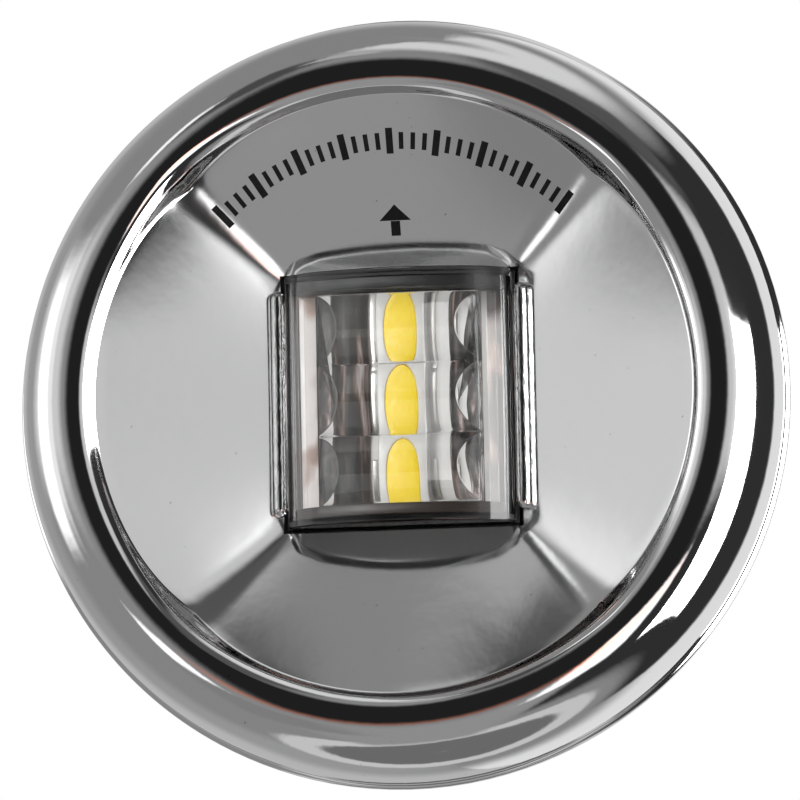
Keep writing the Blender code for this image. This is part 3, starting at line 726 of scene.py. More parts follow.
def make_bezel(material):
    bm = bmesh.new()
    sections = []
    for x, y, angle in loft_stations(56):
        points = bezel_section(x, y, angle, 16, 24, 24)
        sections.append([bm.verts.new(Vector(p) * MM) for p in points])
    for this, following in zip(sections, sections[1:] + sections[:1]):
        for row in range(len(this) - 1):
            bm.faces.new((this[row], this[row + 1], following[row + 1], following[row]))
    bezel = mesh_object("bezel_shell", bm, 60.0)
    sheet = bezel.modifiers.new("sheet", "SOLIDIFY")
    sheet.thickness = SHEET * MM
    sheet.offset = -1
    sheet.use_even_offset = True
    settle(bezel, 60.0)
    return place(bezel, "polished_steel", material, "bezel", body=COVER)


def make_bead(side, word, material):
    """The raised bead beside the window: a half-round bar that dies away at its ends."""
    rings = []
    for i in range(41):
        y = -cos(pi * i / 40) * BEAD_HALF
        inside = max(0.0, abs(y) - (BEAD_HALF - BEAD_RADIUS)) / BEAD_RADIUS
        size = BEAD_RADIUS * sqrt(max(0.0004, 1 - inside ** 2))
        rings.append([(x, y, z) for x, z in arc(side * BEAD_X, BEAD_LEVEL, size, size, 18, 20)])
    bead = tube(f"window_bead_{word}", rings, 60.0)
    return place(bead, "polished_steel", material, body=COVER)


def ink_patch(bm, spot, rows, columns=2):
    """A patch of ink that follows the dish.  Spot gives x, y across and up the patch."""
    grid = []
    for i in range(rows + 1):
        points = [spot(k / columns - 0.5, i / rows) for k in range(columns + 1)]
        heights = [facet_height(x, y, CREASE_ROUND) + INK_THICKNESS for x, y in points]
        grid.append([bm.verts.new((x * MM, y * MM, z * MM)) for (x, y), z in zip(points, heights)])
    faces = [bm.faces.new((low[k], low[k + 1], high[k + 1], high[k]))
             for low, high in zip(grid, grid[1:]) for k in range(columns)]
    thicken(bm, faces, (0, 0, -2 * INK_THICKNESS))


def make_marks(material):
    """Plain printed marks: an arc of tick bars, and an arrow that shows which way is up."""
    bm = bmesh.new()
    for number in range(MARK_COUNT):
        turn = 90 + MARK_SPREAD * (1 - 2 * number / (MARK_COUNT - 1))
        wide, tall = MARK_LONG if number % 4 == 0 else MARK_SHORT

        def spot(across, up):
            x, y = around(MARK_RADIUS + (up - 0.5) * tall, turn)
            aside_x, aside_y = around(across * wide, turn - 90)
            return x + aside_x, y + aside_y

        ink_patch(bm, spot, 5)
    place(mesh_object("tick_marks", bm), "black_resin", material, body=COVER)

    bm = bmesh.new()
    ink_patch(bm, lambda across, up: (across * ARROW_STEM, ARROW_FOOT + up * 1.5), 3)
    ink_patch(bm, lambda across, up: (across * ARROW_WIDTH * max(0.02, 1 - up),
                                      ARROW_FOOT + 1.55 + up * 1.6), 4)
    place(mesh_object("up_arrow", bm), "black_resin", material, body=COVER)


# ------------------------ lens group

def lens_profile(foot, steps=14):
    """Right half of the cover's outer section: bowed front, slanted shoulder, rounded side."""
    drop = LENS_FRONT - LENS_SHOULDER_LEVEL
    points = [(LENS_SHOULDER_X * t / steps, LENS_FRONT - drop * (t / steps) ** 2)
              for t in range(steps + 1)]
    side = bend((LENS_CORNER_X, LENS_CORNER_LEVEL), (LENS_HALF_WIDTH, LENS_CORNER_LEVEL - 0.75),
                (LENS_HALF_WIDTH, LENS_CORNER_LEVEL - 1.7), 8)
    return points + side + [(LENS_HALF_WIDTH, foot)]


def lens_outline(inset, foot):
    """The cover's section, moved inwards by the inset."""
    points = lens_profile(foot)
    moved = []
    for i, (x, z) in enumerate(points):
        before = points[i - 1] if i else (-points[1][0], points[1][1])
        after = points[i + 1] if i + 1 < len(points) else (x, z - 1.0)
        dx, dz = after[0] - before[0], after[1] - before[1]
        run = hypot(dx, dz)
        moved.append((x + inset * dz / run, z - inset * dx / run))
    moved[0] = (0.0, LENS_FRONT - inset)
    moved[-1] = (LENS_HALF_WIDTH - inset, foot)
    return mirrored(moved)


def make_lens_cover(material):
    tall = LENS_HALF_HEIGHT
    lens = prism("lens_shell", lens_outline(0, LENS_FLANGE_BACK), -tall, tall)
    rounded(lens, 0.2, 3, 60.0)
    plinth = slab("plinth", PLINTH_HALF_WIDTH, tall, LENS_FLANGE_BACK + 0.2, PLINTH_FRONT)
    flange = slab("flange", LENS_FLANGE_HALF_WIDTH, LENS_FLANGE_HALF_HEIGHT, LENS_FLANGE_BACK,
                  LENS_FLANGE_FRONT)
    room = tall - LENS_WALL
    hollow = prism("hollow", lens_outline(LENS_WALL, LENS_FLANGE_BACK - 1), -room, room)
    combine(lens, rounded(plinth, 0.15, 2), "UNION", 25.0)
    combine(lens, rounded(flange, 0.2, 2), "UNION", 25.0)
    combine(lens, hollow, "DIFFERENCE", 25.0)
    return place(lens, "clear_lens", material, "lens_cover")


def lobe_outline(steps=20):
    """Side view of the optic: three round lobes, one over each LED."""
    sagitta = LOBE_CREST - LOBE_VALLEY
    half = LED_PITCH / 2
    radius = (half ** 2 + sagitta ** 2) / (2 * sagitta)
    points = [(-OPTIC_HALF_HEIGHT, OPTIC_BACK), (OPTIC_HALF_HEIGHT, OPTIC_BACK)]
    for middle in LED_ROWS:
        for step in range(2 * steps + 1):
            y = half * (1 - step / steps)
            if step == 2 * steps and middle > -LED_PITCH:
                continue
            z = LOBE_CREST - radius + sqrt(radius ** 2 - y ** 2)
            points.append((max(-OPTIC_HALF_HEIGHT, min(OPTIC_HALF_HEIGHT, middle + y)), z))
    return points


def make_optic(material):
    wide = OPTIC_PLATE_HALF_WIDTH
    optic = prism("optic_lobes", lobe_outline(), -wide - 1, wide + 1, "x")
    slant = (OPTIC_HALF_WIDTH - LOBE_CREST_HALF_WIDTH) / (LOBE_CREST - LOBE_VALLEY)
    front = LOBE_CREST + 1
    half = [(0, front), (LOBE_CREST_HALF_WIDTH - slant, front), (OPTIC_HALF_WIDTH, LOBE_VALLEY),
            (OPTIC_HALF_WIDTH, OPTIC_PLATE_FRONT), (wide, OPTIC_PLATE_FRONT),
            (wide, OPTIC_BACK - 1)]
    keep = prism("keep", mirrored(half), -LENS_HALF_HEIGHT, LENS_HALF_HEIGHT)
    combine(optic, keep, "INTERSECT", 20.0)
    rounded(optic, 0.12, 2, 35.0)
    return place(optic, "clear_lens", material, "optic")


def make_led_board(material, pad_material):
    """White board behind the LEDs with a tinned pad at each end of every package."""
    board = slab("led_board_sheet", BOARD_HALF_WIDTH, BOARD_HALF_HEIGHT, BOARD_BACK, BOARD_FRONT)
    place(rounded(board, 0.15, 2), "white_board", material, "led_board")
    middle = LED_SIZE / 2 + 0.1 + PAD_HALF_WIDTH
    for index, y in enumerate(LED_ROWS, 1):
        for side, word in SIDES:
            pad = slab(f"solder_pad_{index}_{word}", PAD_HALF_WIDTH, PAD_HALF_HEIGHT,
                       BOARD_FRONT + 0.01, BOARD_FRONT + 0.16, side * middle, y)
            place(rounded(pad, 0.06, 2), "tinned_copper", pad_material)


def make_carrier(black, brown, pale):
    """The carrier: near-black disc, pale tray round the LED board and walls at its ends, the upper
    painted near-black as shade and the lower painted brown as a reflection.
    """
    edge, front, back = CARRIER_RADIUS - 0.2, CARRIER_FRONT, CARRIER_BACK
    disc = spun("carrier_disc", [(0, front), (edge, front), (CARRIER_RADIUS, front - 0.2),
                                 (CARRIER_RADIUS, back + 0.2), (edge, back), (0, back)], 128)
    combine(disc, slab("mouth", MOUTH_HALF_WIDTH, MOUTH_HALF_HEIGHT, -4.9, 1.0), "DIFFERENCE")
    place(disc, "black_plastic", black, "optic_carrier")
    tray = slab("carrier_tray", TRAY_HALF_WIDTH, TRAY_HALF_HEIGHT, front + 0.02, TRAY_FRONT)
    mouth = slab("mouth", MOUTH_HALF_WIDTH, MOUTH_HALF_HEIGHT - 0.02, -5.0, 1.0)
    place(combine(rounded(tray, 0.2, 2), mouth, "DIFFERENCE"), "white_board", pale)
    # Painted shade and reflection: the upper wall is near-black and the lower one brown, though
    # both are one black plastic.
    for side, word, look in ((-1, "lower", brown), (1, "upper", black)):
        start, end = sorted((side * MOUTH_HALF_HEIGHT, side * (LENS_HALF_HEIGHT - 0.95)))
        outline = lens_outline(LENS_WALL + 0.15, TRAY_FRONT + 0.02)
        wall = prism(f"end_wall_{word}", outline, start, end)
        place(rounded(wall, 0.08, 2), "black_plastic", look)


def make_ribs(material):
    """Two rounded ribs beside the LEDs, seen through the lobes as dark streaks."""
    for side, word, middle, half in RIBS:
        outline = arc(middle, BOARD_FRONT + 0.02, half, RIB_HEIGHT, 11.25, 17)
        rib = prism(f"carrier_rib_{word}", outline, -RIB_HALF_LENGTH, RIB_HALF_LENGTH)
        bm = bmesh.new()
        bm.from_mesh(rib.data)
        long_edges = [edge for edge in bm.edges if edge.calc_length() > RIB_HALF_LENGTH * MM]
        bmesh.ops.subdivide_edges(bm, edges=long_edges, cuts=60, use_grid_fill=True)
        for vert in bm.verts:
            height = vert.co.y + BOARD_FRONT * MM
            wave = noise.noise(vert.co * Vector(RIB_WAVES) + Vector((side * 7.0, 0, 0)))
            if height < -0.1 * MM:
                vert.co.y += wave * RIB_WAVE * MM * min(1.0, -height / MM)
                vert.co.x += wave * RIB_WAVE * 0.6 * MM
        bm.to_mesh(rib.data)
        bm.free()
        rib.data.shade_smooth()
        place(rib, "black_plastic", material)


def stretched(piece, y):
    """Makes a round piece at the middle into an oblong one at height y."""
    for vert in piece.data.vertices:
        lift = PHOSPHOR_REACH * MM * max(-1.0, min(1.0, vert.co.z / (0.8 * MM)))
        vert.co.z += lift + y * MM
    return piece


def make_led(number, y, body_material, fill_material):
    """A square package with a round cup, and the domed yellow fill in the cup."""
    half = LED_SIZE / 2
    package = slab(f"led_package_{number}", half, half, LED_BACK, LED_FRONT, 0.0, y)
    mouth, floor = PHOSPHOR_RADIUS + 0.12, LED_FRONT - 0.5
    cup = [(0, LED_FRONT + 1), (mouth, LED_FRONT + 1), (mouth, LED_FRONT),
           (PHOSPHOR_RADIUS - 0.25, floor), (0, floor)]
    combine(rounded(package, 0.18, 2), stretched(spun("cup", cup, 48), y), "DIFFERENCE")
    place(package, "led_package", body_material, f"led_{number}")
    dome = [(PHOSPHOR_RADIUS * i / 8, LED_FRONT + 0.1 * (1 - (i / 8) ** 2)) for i in range(8)]
    foot = floor + 0.08
    profile = dome + [(PHOSPHOR_RADIUS, LED_FRONT - 0.05), (PHOSPHOR_RADIUS - 0.3, foot),
                      (0, foot)]
    fill = stretched(spun(f"phosphor_fill_{number}", profile, 48), y)
    place(fill, "phosphor", fill_material, f"phosphor_{number}")


# ------------------------ housing and fixings

BOSSES = all_round(BOSS_PLACE, 4)
POSTS = [(-STANDOFF_X, -STANDOFF_Y), (STANDOFF_X, STANDOFF_Y)]
FIXINGS = [around(MOUNT_SCREW_PLACE, degrees) for degrees in MOUNT_SCREW_ANGLES]
RIVETS = [around(RIVET_PLACE, degrees) for degrees in CLIP_ANGLES]

# Piece, node, places, thread radius, length, head radius, head height, level and pitch
SCREWS = [
    ("fixing_screw", "mounting_screw", FIXINGS, 1.75, 19.0, 3.1, 2.4, FLANGE_FRONT + CAD_GAP, 1.3),
    ("clamp_screw", "frame_screw", BOSSES, 1.1, 14.0, 2.3, 1.7, FRAME_FRONT + CAD_GAP, 0.9),
    ("board_screw", "driver_screw", POSTS, 1.1, 7.0, 2.2, 1.6, DRIVER_FRONT + CAD_GAP, 0.9),
]


def make_housing(material):
    """Flange and cup: rounded edges, moulded grooves, screw bosses and board posts."""
    rim, base = FLANGE_FRONT, FLOOR_BACK
    dished, sunk, floor = FLANGE_FRONT - 0.5, FLOOR_BACK + FLOOR_SINK, FLOOR_FRONT
    profile = softened([
        (FLANGE_RADIUS, rim), (FLANGE_RADIUS, FLANGE_BACK), (CUP_RADIUS, FLANGE_BACK),
        (CUP_RADIUS - 0.25, base + 1.0), (CUP_RADIUS - 1.2, base), (26.4, base), (26.0, sunk),
        (10.4, sunk), (10.0, base), (8.4, base), (8.0, base + 0.25),
        (CABLE_HOLE_RADIUS, base + 0.25), (CABLE_HOLE_RADIUS, floor), (LOWER_BORE, floor),
        (LOWER_BORE, LEDGE), (CUP_BORE, LEDGE), (CUP_BORE, rim), (CUP_BORE + 1.6, rim),
        (CUP_BORE + 2.0, dished), (FLANGE_RADIUS - 2.0, dished), (FLANGE_RADIUS - 1.6, rim)],
        0.22, 3)
    housing = spun("housing_shell", profile, 160)
    combine(housing, joined([rods(BOSS_RADIUS, floor - 0.5, LEDGE, BOSSES),
                             rods(STANDOFF_RADIUS, floor - 0.5, STANDOFF_TOP, POSTS),
                             rods(SEAT_RADIUS, FLANGE_BACK + 0.3, rim - 0.02, FIXINGS, 40)]),
            "UNION")
    ribs = []
    for index in range(FLOOR_RIBS):
        rib = slab("rib", 8.0, 0.5, base + 0.02, base + 1.2, 18.2)
        ribs.append(turned_about(rounded(rib, 0.15, 2), 360 * index / FLOOR_RIBS))
    combine(housing, joined(ribs), "UNION")
    grooves = all_round(CUP_RADIUS + 0.45, CUP_GROOVES, 180 / CUP_GROOVES)
    pin_marks = all_round(PIN_MARK_PLACE, 6, 15)
    combine(housing, joined([rods(PILOT_RADIUS, BOSS_HOLE_END, LEDGE + 1, BOSSES, 24),
                             rods(PILOT_RADIUS, floor + 1, STANDOFF_TOP + 1, POSTS, 24),
                             rods(MOUNT_HOLE_RADIUS, -2, 6, FIXINGS),
                             rods(RIVET_HOLE_RADIUS, 0, 5, RIVETS, 24),
                             rods(0.9, base + 2.5, FLANGE_BACK - 2.0, grooves, 20),
                             rods(2.2, base, sunk + 0.18, pin_marks)]), "DIFFERENCE")
    return place(housing, "black_plastic", material, "housing")


def make_gasket(material):
    profile = softened([(GASKET_OUTER, GASKET_FRONT), (GASKET_OUTER, 0),
                        (GASKET_INNER, 0), (GASKET_INNER, GASKET_FRONT)], 0.3, 5)
    gasket = spun("foam_ring", profile, 160)
    holes = joined([rods(MOUNT_HOLE_RADIUS, -2, 3, FIXINGS), rods(2.0, -2, 3, RIVETS)])
    combine(gasket, holes, "DIFFERENCE")
    return place(gasket, "foam_rubber", material, "mounting_gasket")


def screw_sections(radius, length, head_radius, head_height, under_head, pitch):
    """(radius, height, thread depth) down a pan-head screw, from the top of its head."""
    sections = []
    for step in range(9):
        angle = radians(90 * step / 8)
        sections.append((head_radius * sin(angle) ** 0.7 if step else POINT_RADIUS,
                         under_head + head_height * (0.35 + 0.65 * cos(angle)), 0.0))
    sections += [(head_radius, under_head + 0.12, 0.0), (head_radius - 0.12, under_head, 0.0),
                 (radius + 0.15, under_head, 0.0), (radius, under_head - 0.2, 0.0)]
    start, end = under_head - 0.22 * length, under_head - length
    rows = int((start - end) / pitch * 12)
    for row in range(rows):
        part = row / rows
        height = start + (end - start) * part
        point = min(1.0, (height - end) / (2.2 * radius))
        depth = min(1.0, part * 12) * min(1.0, point * 1.4) * 0.3 * radius
        sections.append((max(0.03, radius * point ** 0.8), height, depth))
    return sections + [(POINT_RADIUS, end, 0.0)]


def make_screw(name, node, x, y, material, radius, length, head_radius, head_height, under_head,
               pitch):
    """A pan-head screw with a rolled thread and a cross recess."""
    sides = 28
    rings = []
    for size, height, depth in screw_sections(radius, length, head_radius, head_height,
                                               under_head, pitch):
        ring = []
        for k in range(sides):
            flank = abs(2 * ((height / pitch - k / sides) % 1.0) - 1)
            across, up = around(size - depth * min(1.0, 1.35 * (1 - flank)), 360 * k / sides)
            ring.append((x + across, y + up, height))
        rings.append(ring)
    screw = tube(name, rings, 40.0)
    top = under_head + head_height
    arm, slot = head_radius * 0.55, head_radius * 0.11
    for half_x, half_y in ((arm, slot), (slot, arm)):
        recess = slab("recess", half_x, half_y, top - 0.55 * head_height, top + 0.5, x, y)
        for vert in recess.data.vertices:
            if -vert.co.y < (top - 0.3 * head_height) * MM:
                vert.co.x = x * MM + (vert.co.x - x * MM) * 0.6
                vert.co.z = y * MM + (vert.co.z - y * MM) * 0.6
        combine(screw, recess, "DIFFERENCE", 40.0)
    return place(screw, "screw_steel", material, node)


def make_clips(material):
    """Bent spring hooks that the bezel's skirt is pushed over, each with its rivet."""
    foot = FLANGE_FRONT + CAD_GAP
    middle, half = foot + CLIP_SHEET / 2, CLIP_WIDTH / 2
    path = [(33.9, middle), (38.2, middle), (39.15, foot + 1.05), (38.45, foot + 2.75)]
    head = foot + CLIP_SHEET + CAD_GAP
    tail = FLANGE_BACK - CAD_GAP
    rivet_profile = arc(0, head, 1.7, 0.7, -15, 7, 90) + [
        (0.8, head), (0.8, tail), (1.45, tail), (1.5, tail - 0.1), (1.2, tail - 0.6),
        (0, tail - 0.6)]
    for number, degrees in enumerate(CLIP_ANGLES, 1):
        clip = prism(f"spring_hook_{number}", strip_outline(path, CLIP_SHEET), -half, half)
        combine(clip, rods(RIVET_HOLE_RADIUS, 0, 6, [(RIVET_PLACE, 0)]), "DIFFERENCE")
        combine(clip, rods(0.8, 0, foot + 1.0, [(38.9, 0)]), "DIFFERENCE")
        turned_about(rounded(clip, 0.07, 2, 50.0), degrees)
        place(clip, "spring_steel", material, f"bezel_clip_{number}")
        rivet = spun(f"hook_rivet_{number}", rivet_profile, 40, *around(RIVET_PLACE, degrees))
        place(rivet, "spring_steel", material, f"clip_rivet_{number}")


def make_grommet(material):
    """Rubber bush with rounded lips, a stepped cone outside and a bore for each wire."""
    outside, inside = FLOOR_BACK - CAD_GAP, FLOOR_FRONT + CAD_GAP
    profile = softened([(0, inside + 1.6), (4.3, inside + 1.6), (5.2, inside), (3.7, inside),
                        (3.7, outside), (6.0, outside), (5.9, outside - 0.7),
                        (5.1, outside - 0.9), (4.9, outside - 1.6), (0, outside - 1.6)],
                       0.22, 4, True)
    grommet = spun("wire_bush", profile, 64)
    bores = rods(WIRE_BORE_RADIUS, outside - 3, inside + 3, [(-WIRE_PLACE, 0), (WIRE_PLACE, 0)])
    combine(grommet, bores, "DIFFERENCE")
    return place(grommet, "black_rubber", material, "cable_grommet")


# ------------------------ frame and seals

def make_lens_frame(material):
    """The plate that clamps the lens: chamfered window, pocket behind, sunk screw seats."""
    front, back, sunk = FRAME_FRONT, FRAME_BACK, FRAME_FRONT - 0.6
    profile = softened([(0, sunk), (20.2, sunk), (20.8, front), (FRAME_RADIUS, front),
                        (FRAME_RADIUS, back), (0, back)], 0.3, 3, True)
    plate = spun("frame_plate", profile, 128)
    combine(plate, rods(3.3, back + 0.5, front - 0.02, BOSSES, 40), "UNION")
    window = slab("window", PLINTH_HALF_WIDTH + CAD_GAP, LENS_HALF_HEIGHT + CAD_GAP, back - 1,
                  front + 1)
    combine(plate, window, "DIFFERENCE")
    pocket = slab("pocket", LENS_FLANGE_HALF_WIDTH + CAD_GAP, LENS_FLANGE_HALF_HEIGHT + CAD_GAP,
                  back - 1, LENS_FLANGE_FRONT + CAD_GAP)
    combine(plate, rounded(pocket, 0.5, 3), "DIFFERENCE")
    combine(plate, rods(PILOT_RADIUS, back - 1, front + 1, BOSSES, 24), "DIFFERENCE")
    return place(plate, "black_plastic", material, "lens_frame")


def make_seals(material):
    """The seal under the lens's flange and the ring under the carrier."""
    back = FRAME_BACK
    seal = slab("flange_seal", LENS_FLANGE_HALF_WIDTH, LENS_FLANGE_HALF_HEIGHT, back, back + 1.0)
    hole = slab("hole", TRAY_HALF_WIDTH + 0.2, TRAY_HALF_HEIGHT + 0.6, back - 1, back + 2)
    rounded(combine(seal, hole, "DIFFERENCE"), 0.3, 4)
    place(seal, "grey_rubber", material, "lens_seal")
    front, back = CARRIER_BACK - CAD_GAP, LEDGE + CAD_GAP
    ring = arc(26.52, (front + back) / 2, 0.57, (front - back) / 2, 18, 20)
    place(spun("carrier_seal", ring, 160), "grey_rubber", material, "housing_seal")


# ------------------------ driver board

def make_driver_parts(looks):
    """The supply circuit's parts: bodies with rounded edges, leads, end caps and a winding."""
    floor = DRIVER_FRONT + CAD_GAP
    resin, tin = looks["black_resin"], looks["tinned_copper"]
    chip = slab("chip_body", 2.5, 2.3, floor + 0.1, floor + 1.7, CHIP_X, CHIP_Y)
    dot = rods(0.35, floor + 1.6, floor + 2, [(CHIP_X - 1.7, CHIP_Y + 1.5)], 24)
    combine(rounded(chip, 0.18, 2), dot, "DIFFERENCE")
    place(chip, "black_resin", resin, "driver_chip")
    for index in range(8):
        x = CHIP_X - 1.9 + 1.27 * (index % 4)
        side = 1 if index < 4 else -1
        steps = ((2.25, 0.85), (2.65, 0.85), (2.7, 0.08), (3.2, 0.08))
        path = [(CHIP_Y + side * out, floor + up) for out, up in steps]
        lead = prism(f"chip_lead_{index + 1}", strip_outline(path, 0.15), x - 0.2, x + 0.2, "x")
        place(lead, "tinned_copper", tin)
    for name, node, x, y, half_x, half_y, tall in BOXED_PARTS:
        body = slab(name, half_x, half_y, floor, floor + tall, x, y)
        place(rounded(body, 0.15, 3), "black_resin", resin, node)
        for side, word in SIDES:
            cap = slab(f"{name}_cap_{word}", 0.24, half_y * 0.9, floor, floor + tall * 0.55,
                       x + side * (half_x + 0.26), y)
            place(rounded(cap, 0.08, 2), "tinned_copper", tin)
    drum = softened([(0, floor + 3.2), (2.9, floor + 3.2), (2.9, floor + 2.5), (1.9, floor + 2.5),
                     (1.9, floor + 0.7), (2.9, floor + 0.7), (2.9, floor), (0, floor)],
                    0.15, 3, True)
    place(spun("choke_drum", drum, 64, *CHOKE), "ferrite", looks["ferrite"], "filter_choke")
    coil = [(1.95, floor + 2.45)]
    for turn in range(5):
        coil += arc(2.45, floor + 2.28 - turn * 0.34, 0.17, 0.17, -30, 7, 90)
    coil.append((1.95, floor + 0.75))
    place(spun("choke_winding", coil, 64, *CHOKE), "tinned_copper", tin)
    can = softened([(0, floor + 5.25), (2.3, floor + 5.25), (2.5, floor + 5.4), (3.1, floor + 5.4),
                    (3.1, floor + 1.5), (2.85, floor + 1.2), (3.1, floor + 0.9), (3.1, floor),
                    (0, floor)], 0.2, 3, True)
    place(spun("capacitor_can", can, 64, *CAPACITOR), "capacitor_can",
          looks["capacitor_can"], "capacitor")


# ------------------------ studio

def world_light():
    """A procedural studio round the light: soft boxes, dark cloth and grey walls."""
    world = bpy.data.worlds.new("studio")
    bpy.context.scene.world = world
    n = Nodes(world)
    n.tree.nodes.clear()

    def window(value, low, high, soft):
        """1 between low and high degrees, and 1 everywhere if that is the whole way round."""
        if low <= -180 and high >= 180:
            return 1.0
        low, high, half = radians(low), radians(high), radians(soft) / 2
        return n.number("MULTIPLY", n.smooth_step(value, low - half, low + half),
                        n.smooth_step(value, high + half, high - half))

    towards = n.add("ShaderNodeTexCoord", "Generated")
    x, y, z = [n.add("ShaderNodeSeparateXYZ", axis, Vector=towards) for axis in "XYZ"]
    azimuth = n.number("ARCTAN2", x, n.number("MULTIPLY", y, -1.0))
    elevation = n.number("ARCSINE", z)
    level = STUDIO_GREY
    for strength, across, soft_across, up, soft_up in PANELS:
        mask = n.number("MULTIPLY", window(azimuth, *across, soft_across),
                        window(elevation, *up, soft_up))
        change = n.number("MULTIPLY", n.number("SUBTRACT", strength, level), mask)
        level = n.number("ADD", level, change)
    through = n.number("MINIMUM", n.number("MULTIPLY", level, LENS_LIGHT), LENS_CAP)
    change = n.number("MULTIPLY", n.number("SUBTRACT", through, level),
                      n.add("ShaderNodeLightPath", "Is Transmission Ray"))
    level = n.number("ADD", level, change)
    warm = n.number("MULTIPLY", window(azimuth, *WARM_ACROSS, 10), window(elevation, *WARM_UP, 5))
    red, green, blue = [n.number("MULTIPLY", level, n.number("MULTIPLY_ADD", warm, tint, 1.0))
                        for tint in WARM_TINT]
    studio = n.add("ShaderNodeCombineColor", Red=red, Green=green, Blue=blue)
    mix = n.tree.nodes.new("ShaderNodeMixShader")
    n.feed(mix.inputs[0], n.add("ShaderNodeLightPath", "Is Camera Ray"))
    n.feed(mix.inputs[1], n.add("ShaderNodeBackground", Color=studio))
    n.feed(mix.inputs[2], n.add("ShaderNodeBackground", Color=(1.0, 1.0, 1.0, 1.0)))
    n.feed(n.tree.nodes.new("ShaderNodeOutputWorld").inputs["Surface"], mix.outputs[0])


def area_lamp(name, right, up, width, height, radiance, lit):
    """A lamp that reaches only the lit pieces, some degrees right of the front and above it."""
    data = bpy.data.lights.new(name, "AREA")
    data.shape = "RECTANGLE"
    data.size = width
    data.size_y = height
    data.energy = radiance * pi * width * height
    lamp = new_object(name, data)
    right, up = radians(right), radians(up)
    away = Vector((sin(right) * cos(up), -cos(right) * cos(up), sin(up)))
    lamp.location = away * LAMP_DISTANCE
    lamp.rotation_euler = away.to_track_quat("Z", "Y").to_euler()
    lamp.visible_camera = False
    lamp.visible_transmission = False
    group = bpy.data.collections.new(f"lit_by_{name}")
    for piece in lit:
        group.objects.link(piece)
    lamp.light_linking.receiver_collection = group
    return lamp


def make_lamps(cover):
    """Two lamps that show on the clear cover, and one for what daylight reaches through it."""
    area_lamp("strip_light", 12.0, 8.0, 0.10, 0.22, STRIP_RADIANCE, [cover])
    area_lamp("end_light", -10.0, 37.6, 0.16, 0.16, END_RADIANCE, [cover])
    behind = [piece for piece in bpy.context.scene.objects
              if piece.type == "MESH" and piece.name.startswith(BEHIND_COVER)]
    inside = area_lamp("inside_light", -24.0, 14.0, 0.2, 0.2, INSIDE_RADIANCE, behind)
    inside.light_linking.blocker_collection = inside.light_linking.receiver_collection


def make_floor():
    bm = bmesh.new()
    bmesh.ops.create_grid(bm, x_segments=24, y_segments=24, size=FLOOR_HALF,
                          matrix=Matrix.Translation((0, 0, FLOOR_LEVEL)))
    floor = smooth_object("studio_floor", bm)
    floor.data.materials.append(plain("pale_floor", (0.80, 0.80, 0.79), 0.97, 0.7, 40.0, 0.0001,
                                      Emission_Color=(1.0, 1.0, 0.99, 1.0),
                                      Emission_Strength=FLOOR_GLOW))
    floor.visible_glossy = False          # the chrome shows the studio instead


def make_camera():
    """Below and to the right of the light's axis, rolled a little, as far as a copy stand."""
    right, below = radians(CAMERA_RIGHT), radians(CAMERA_BELOW)
    target = Vector((AIM_X, 0, AIM_Y)) * MM
    away = Vector((tan(right), -1.0, -tan(below))).normalized()
    data = bpy.data.cameras.new("camera")
    data.sensor_width = 36.0
    data.lens = data.sensor_width * CAMERA_DISTANCE / FRAME_WIDTH
    data.clip_start = 0.01
    camera = new_object("camera", data)
    camera.location = target + away * CAMERA_DISTANCE * MM
    look = away.to_track_quat("Z", "Y")
    roll = Matrix.Rotation(radians(-CAMERA_ROLL), 4, "Z")
    camera.rotation_euler = (look.to_matrix().to_4x4() @ roll).to_euler()
    bpy.context.scene.camera = camera


# ------------------------ putting it together

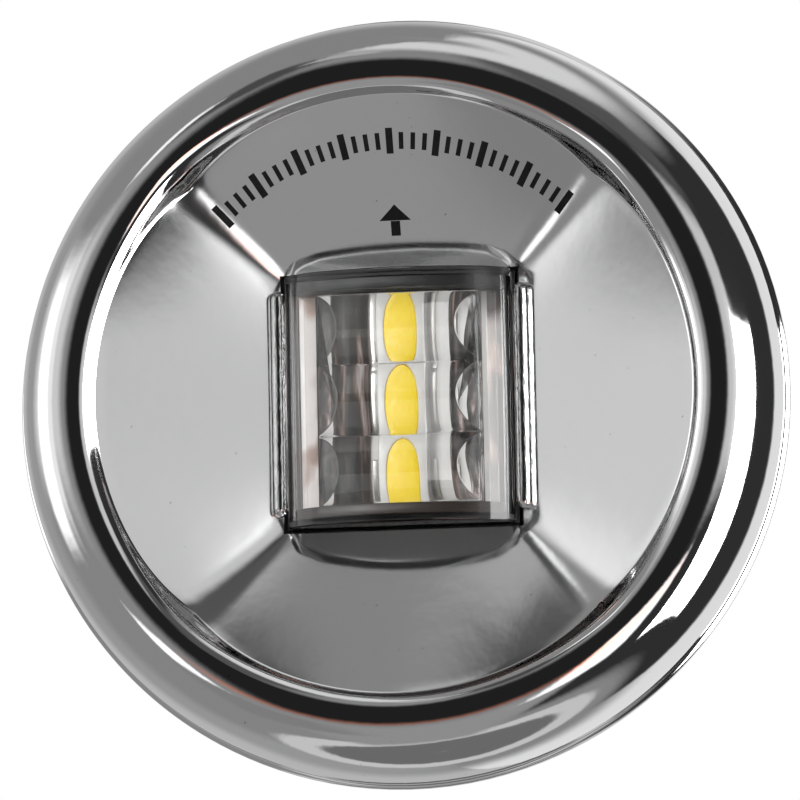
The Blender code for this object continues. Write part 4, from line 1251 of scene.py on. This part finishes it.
# Colour, how much darker it drifts, roughness, grain per metre and its depth, and metalness
LOOKS = {
    "black_plastic": ((0.032, 0.032, 0.034), 0.7, 0.40, 900.0, 0.00002),
    "foam_rubber": ((0.035, 0.035, 0.035), 0.5, 0.95, 1400.0, 0.00012),
    "black_rubber": ((0.03, 0.03, 0.03), 0.7, 0.6, 700.0, 0.00002),
    "grey_rubber": ((0.13, 0.13, 0.13), 0.8, 0.7, 700.0, 0.00002),
    "screw_steel": ((0.72, 0.72, 0.73), 0.85, 0.22, 1200.0, 0.00001, 1.0),
    "spring_steel": ((0.60, 0.60, 0.62), 0.85, 0.28, 1200.0, 0.00001, 1.0),
    "aluminium": ((0.78, 0.79, 0.80), 0.9, 0.35, 1000.0, 0.00001, 1.0),
    "white_board": ((0.82, 0.82, 0.80), 0.94, 0.4, 800.0, 0.00001),
    "circuit_board": ((0.03, 0.20, 0.08), 0.75, 0.4, 800.0, 0.00001),
    "black_resin": ((0.03, 0.03, 0.03), 0.7, 0.5, 1500.0, 0.00002),
    "ferrite": ((0.08, 0.08, 0.085), 0.7, 0.6, 1500.0, 0.00003),
    "capacitor_can": ((0.72, 0.72, 0.74), 0.9, 0.25, 1000.0, 0.00001, 1.0),
    "tinned_copper": ((0.80, 0.79, 0.77), 0.9, 0.3, 1500.0, 0.00001, 1.0),
    "led_package": ((0.93, 0.93, 0.91), 0.96, 0.35, 1500.0, 0.00001),
}
looks = {name: plain(name, *settings) for name, settings in LOOKS.items()}

for entry in frame["record"]["subparts"]:
    look = looks.get(entry["material_slot"])
    if look is not None:
        node = frame["nodes"][entry["node"]]
        node.data.materials.clear()
        node.data.materials.append(look)

make_camera()
make_bezel(polished_steel())
bead = bead_steel()
for side, word in SIDES:
    make_bead(side, word, bead)
lens_cover = make_lens_cover(clear_plastic("clear_cover", (0.985, 0.988, 0.99), 0.004, 0.000006))
make_optic(clear_plastic("clear_optic", (0.99, 0.985, 0.98), 0.006, 0.000008))
make_led_board(looks["white_board"], looks["tinned_copper"])
make_ribs(streaked_rib())
make_marks(plain("black_ink", (0.003, 0.003, 0.0035), 0.6, 0.8, 1500.0, 0.000004))
# Near-black painted shade for the disc and upper end wall, and brown painted reflection for the
# lower end wall.
make_carrier(plain("black_painted_shade", (0.006, 0.006, 0.006), 0.6, 0.5, 900.0, 0.00001),
             plain("brown_painted_reflection", (0.030, 0.019, 0.014), 0.6, 0.4, 900.0, 0.00001), pale_tray())
fill = phosphor_paint()
for index, row in enumerate(LED_ROWS, 1):
    make_led(index, row, looks["led_package"], fill)
make_housing(looks["black_plastic"])
make_gasket(looks["foam_rubber"])
for piece_word, node_word, places, *sizes in SCREWS:
    for index, (x, y) in enumerate(places, 1):
        make_screw(f"{piece_word}_{index}", f"{node_word}_{index}", x, y, looks["screw_steel"],
                   *sizes)
make_clips(looks["spring_steel"])
make_grommet(looks["black_rubber"])
make_lens_frame(looks["black_plastic"])
make_seals(looks["grey_rubber"])
make_driver_parts(looks)
world_light()
make_lamps(lens_cover)
make_floor()

bpy.context.scene.view_settings.view_transform = "Standard"
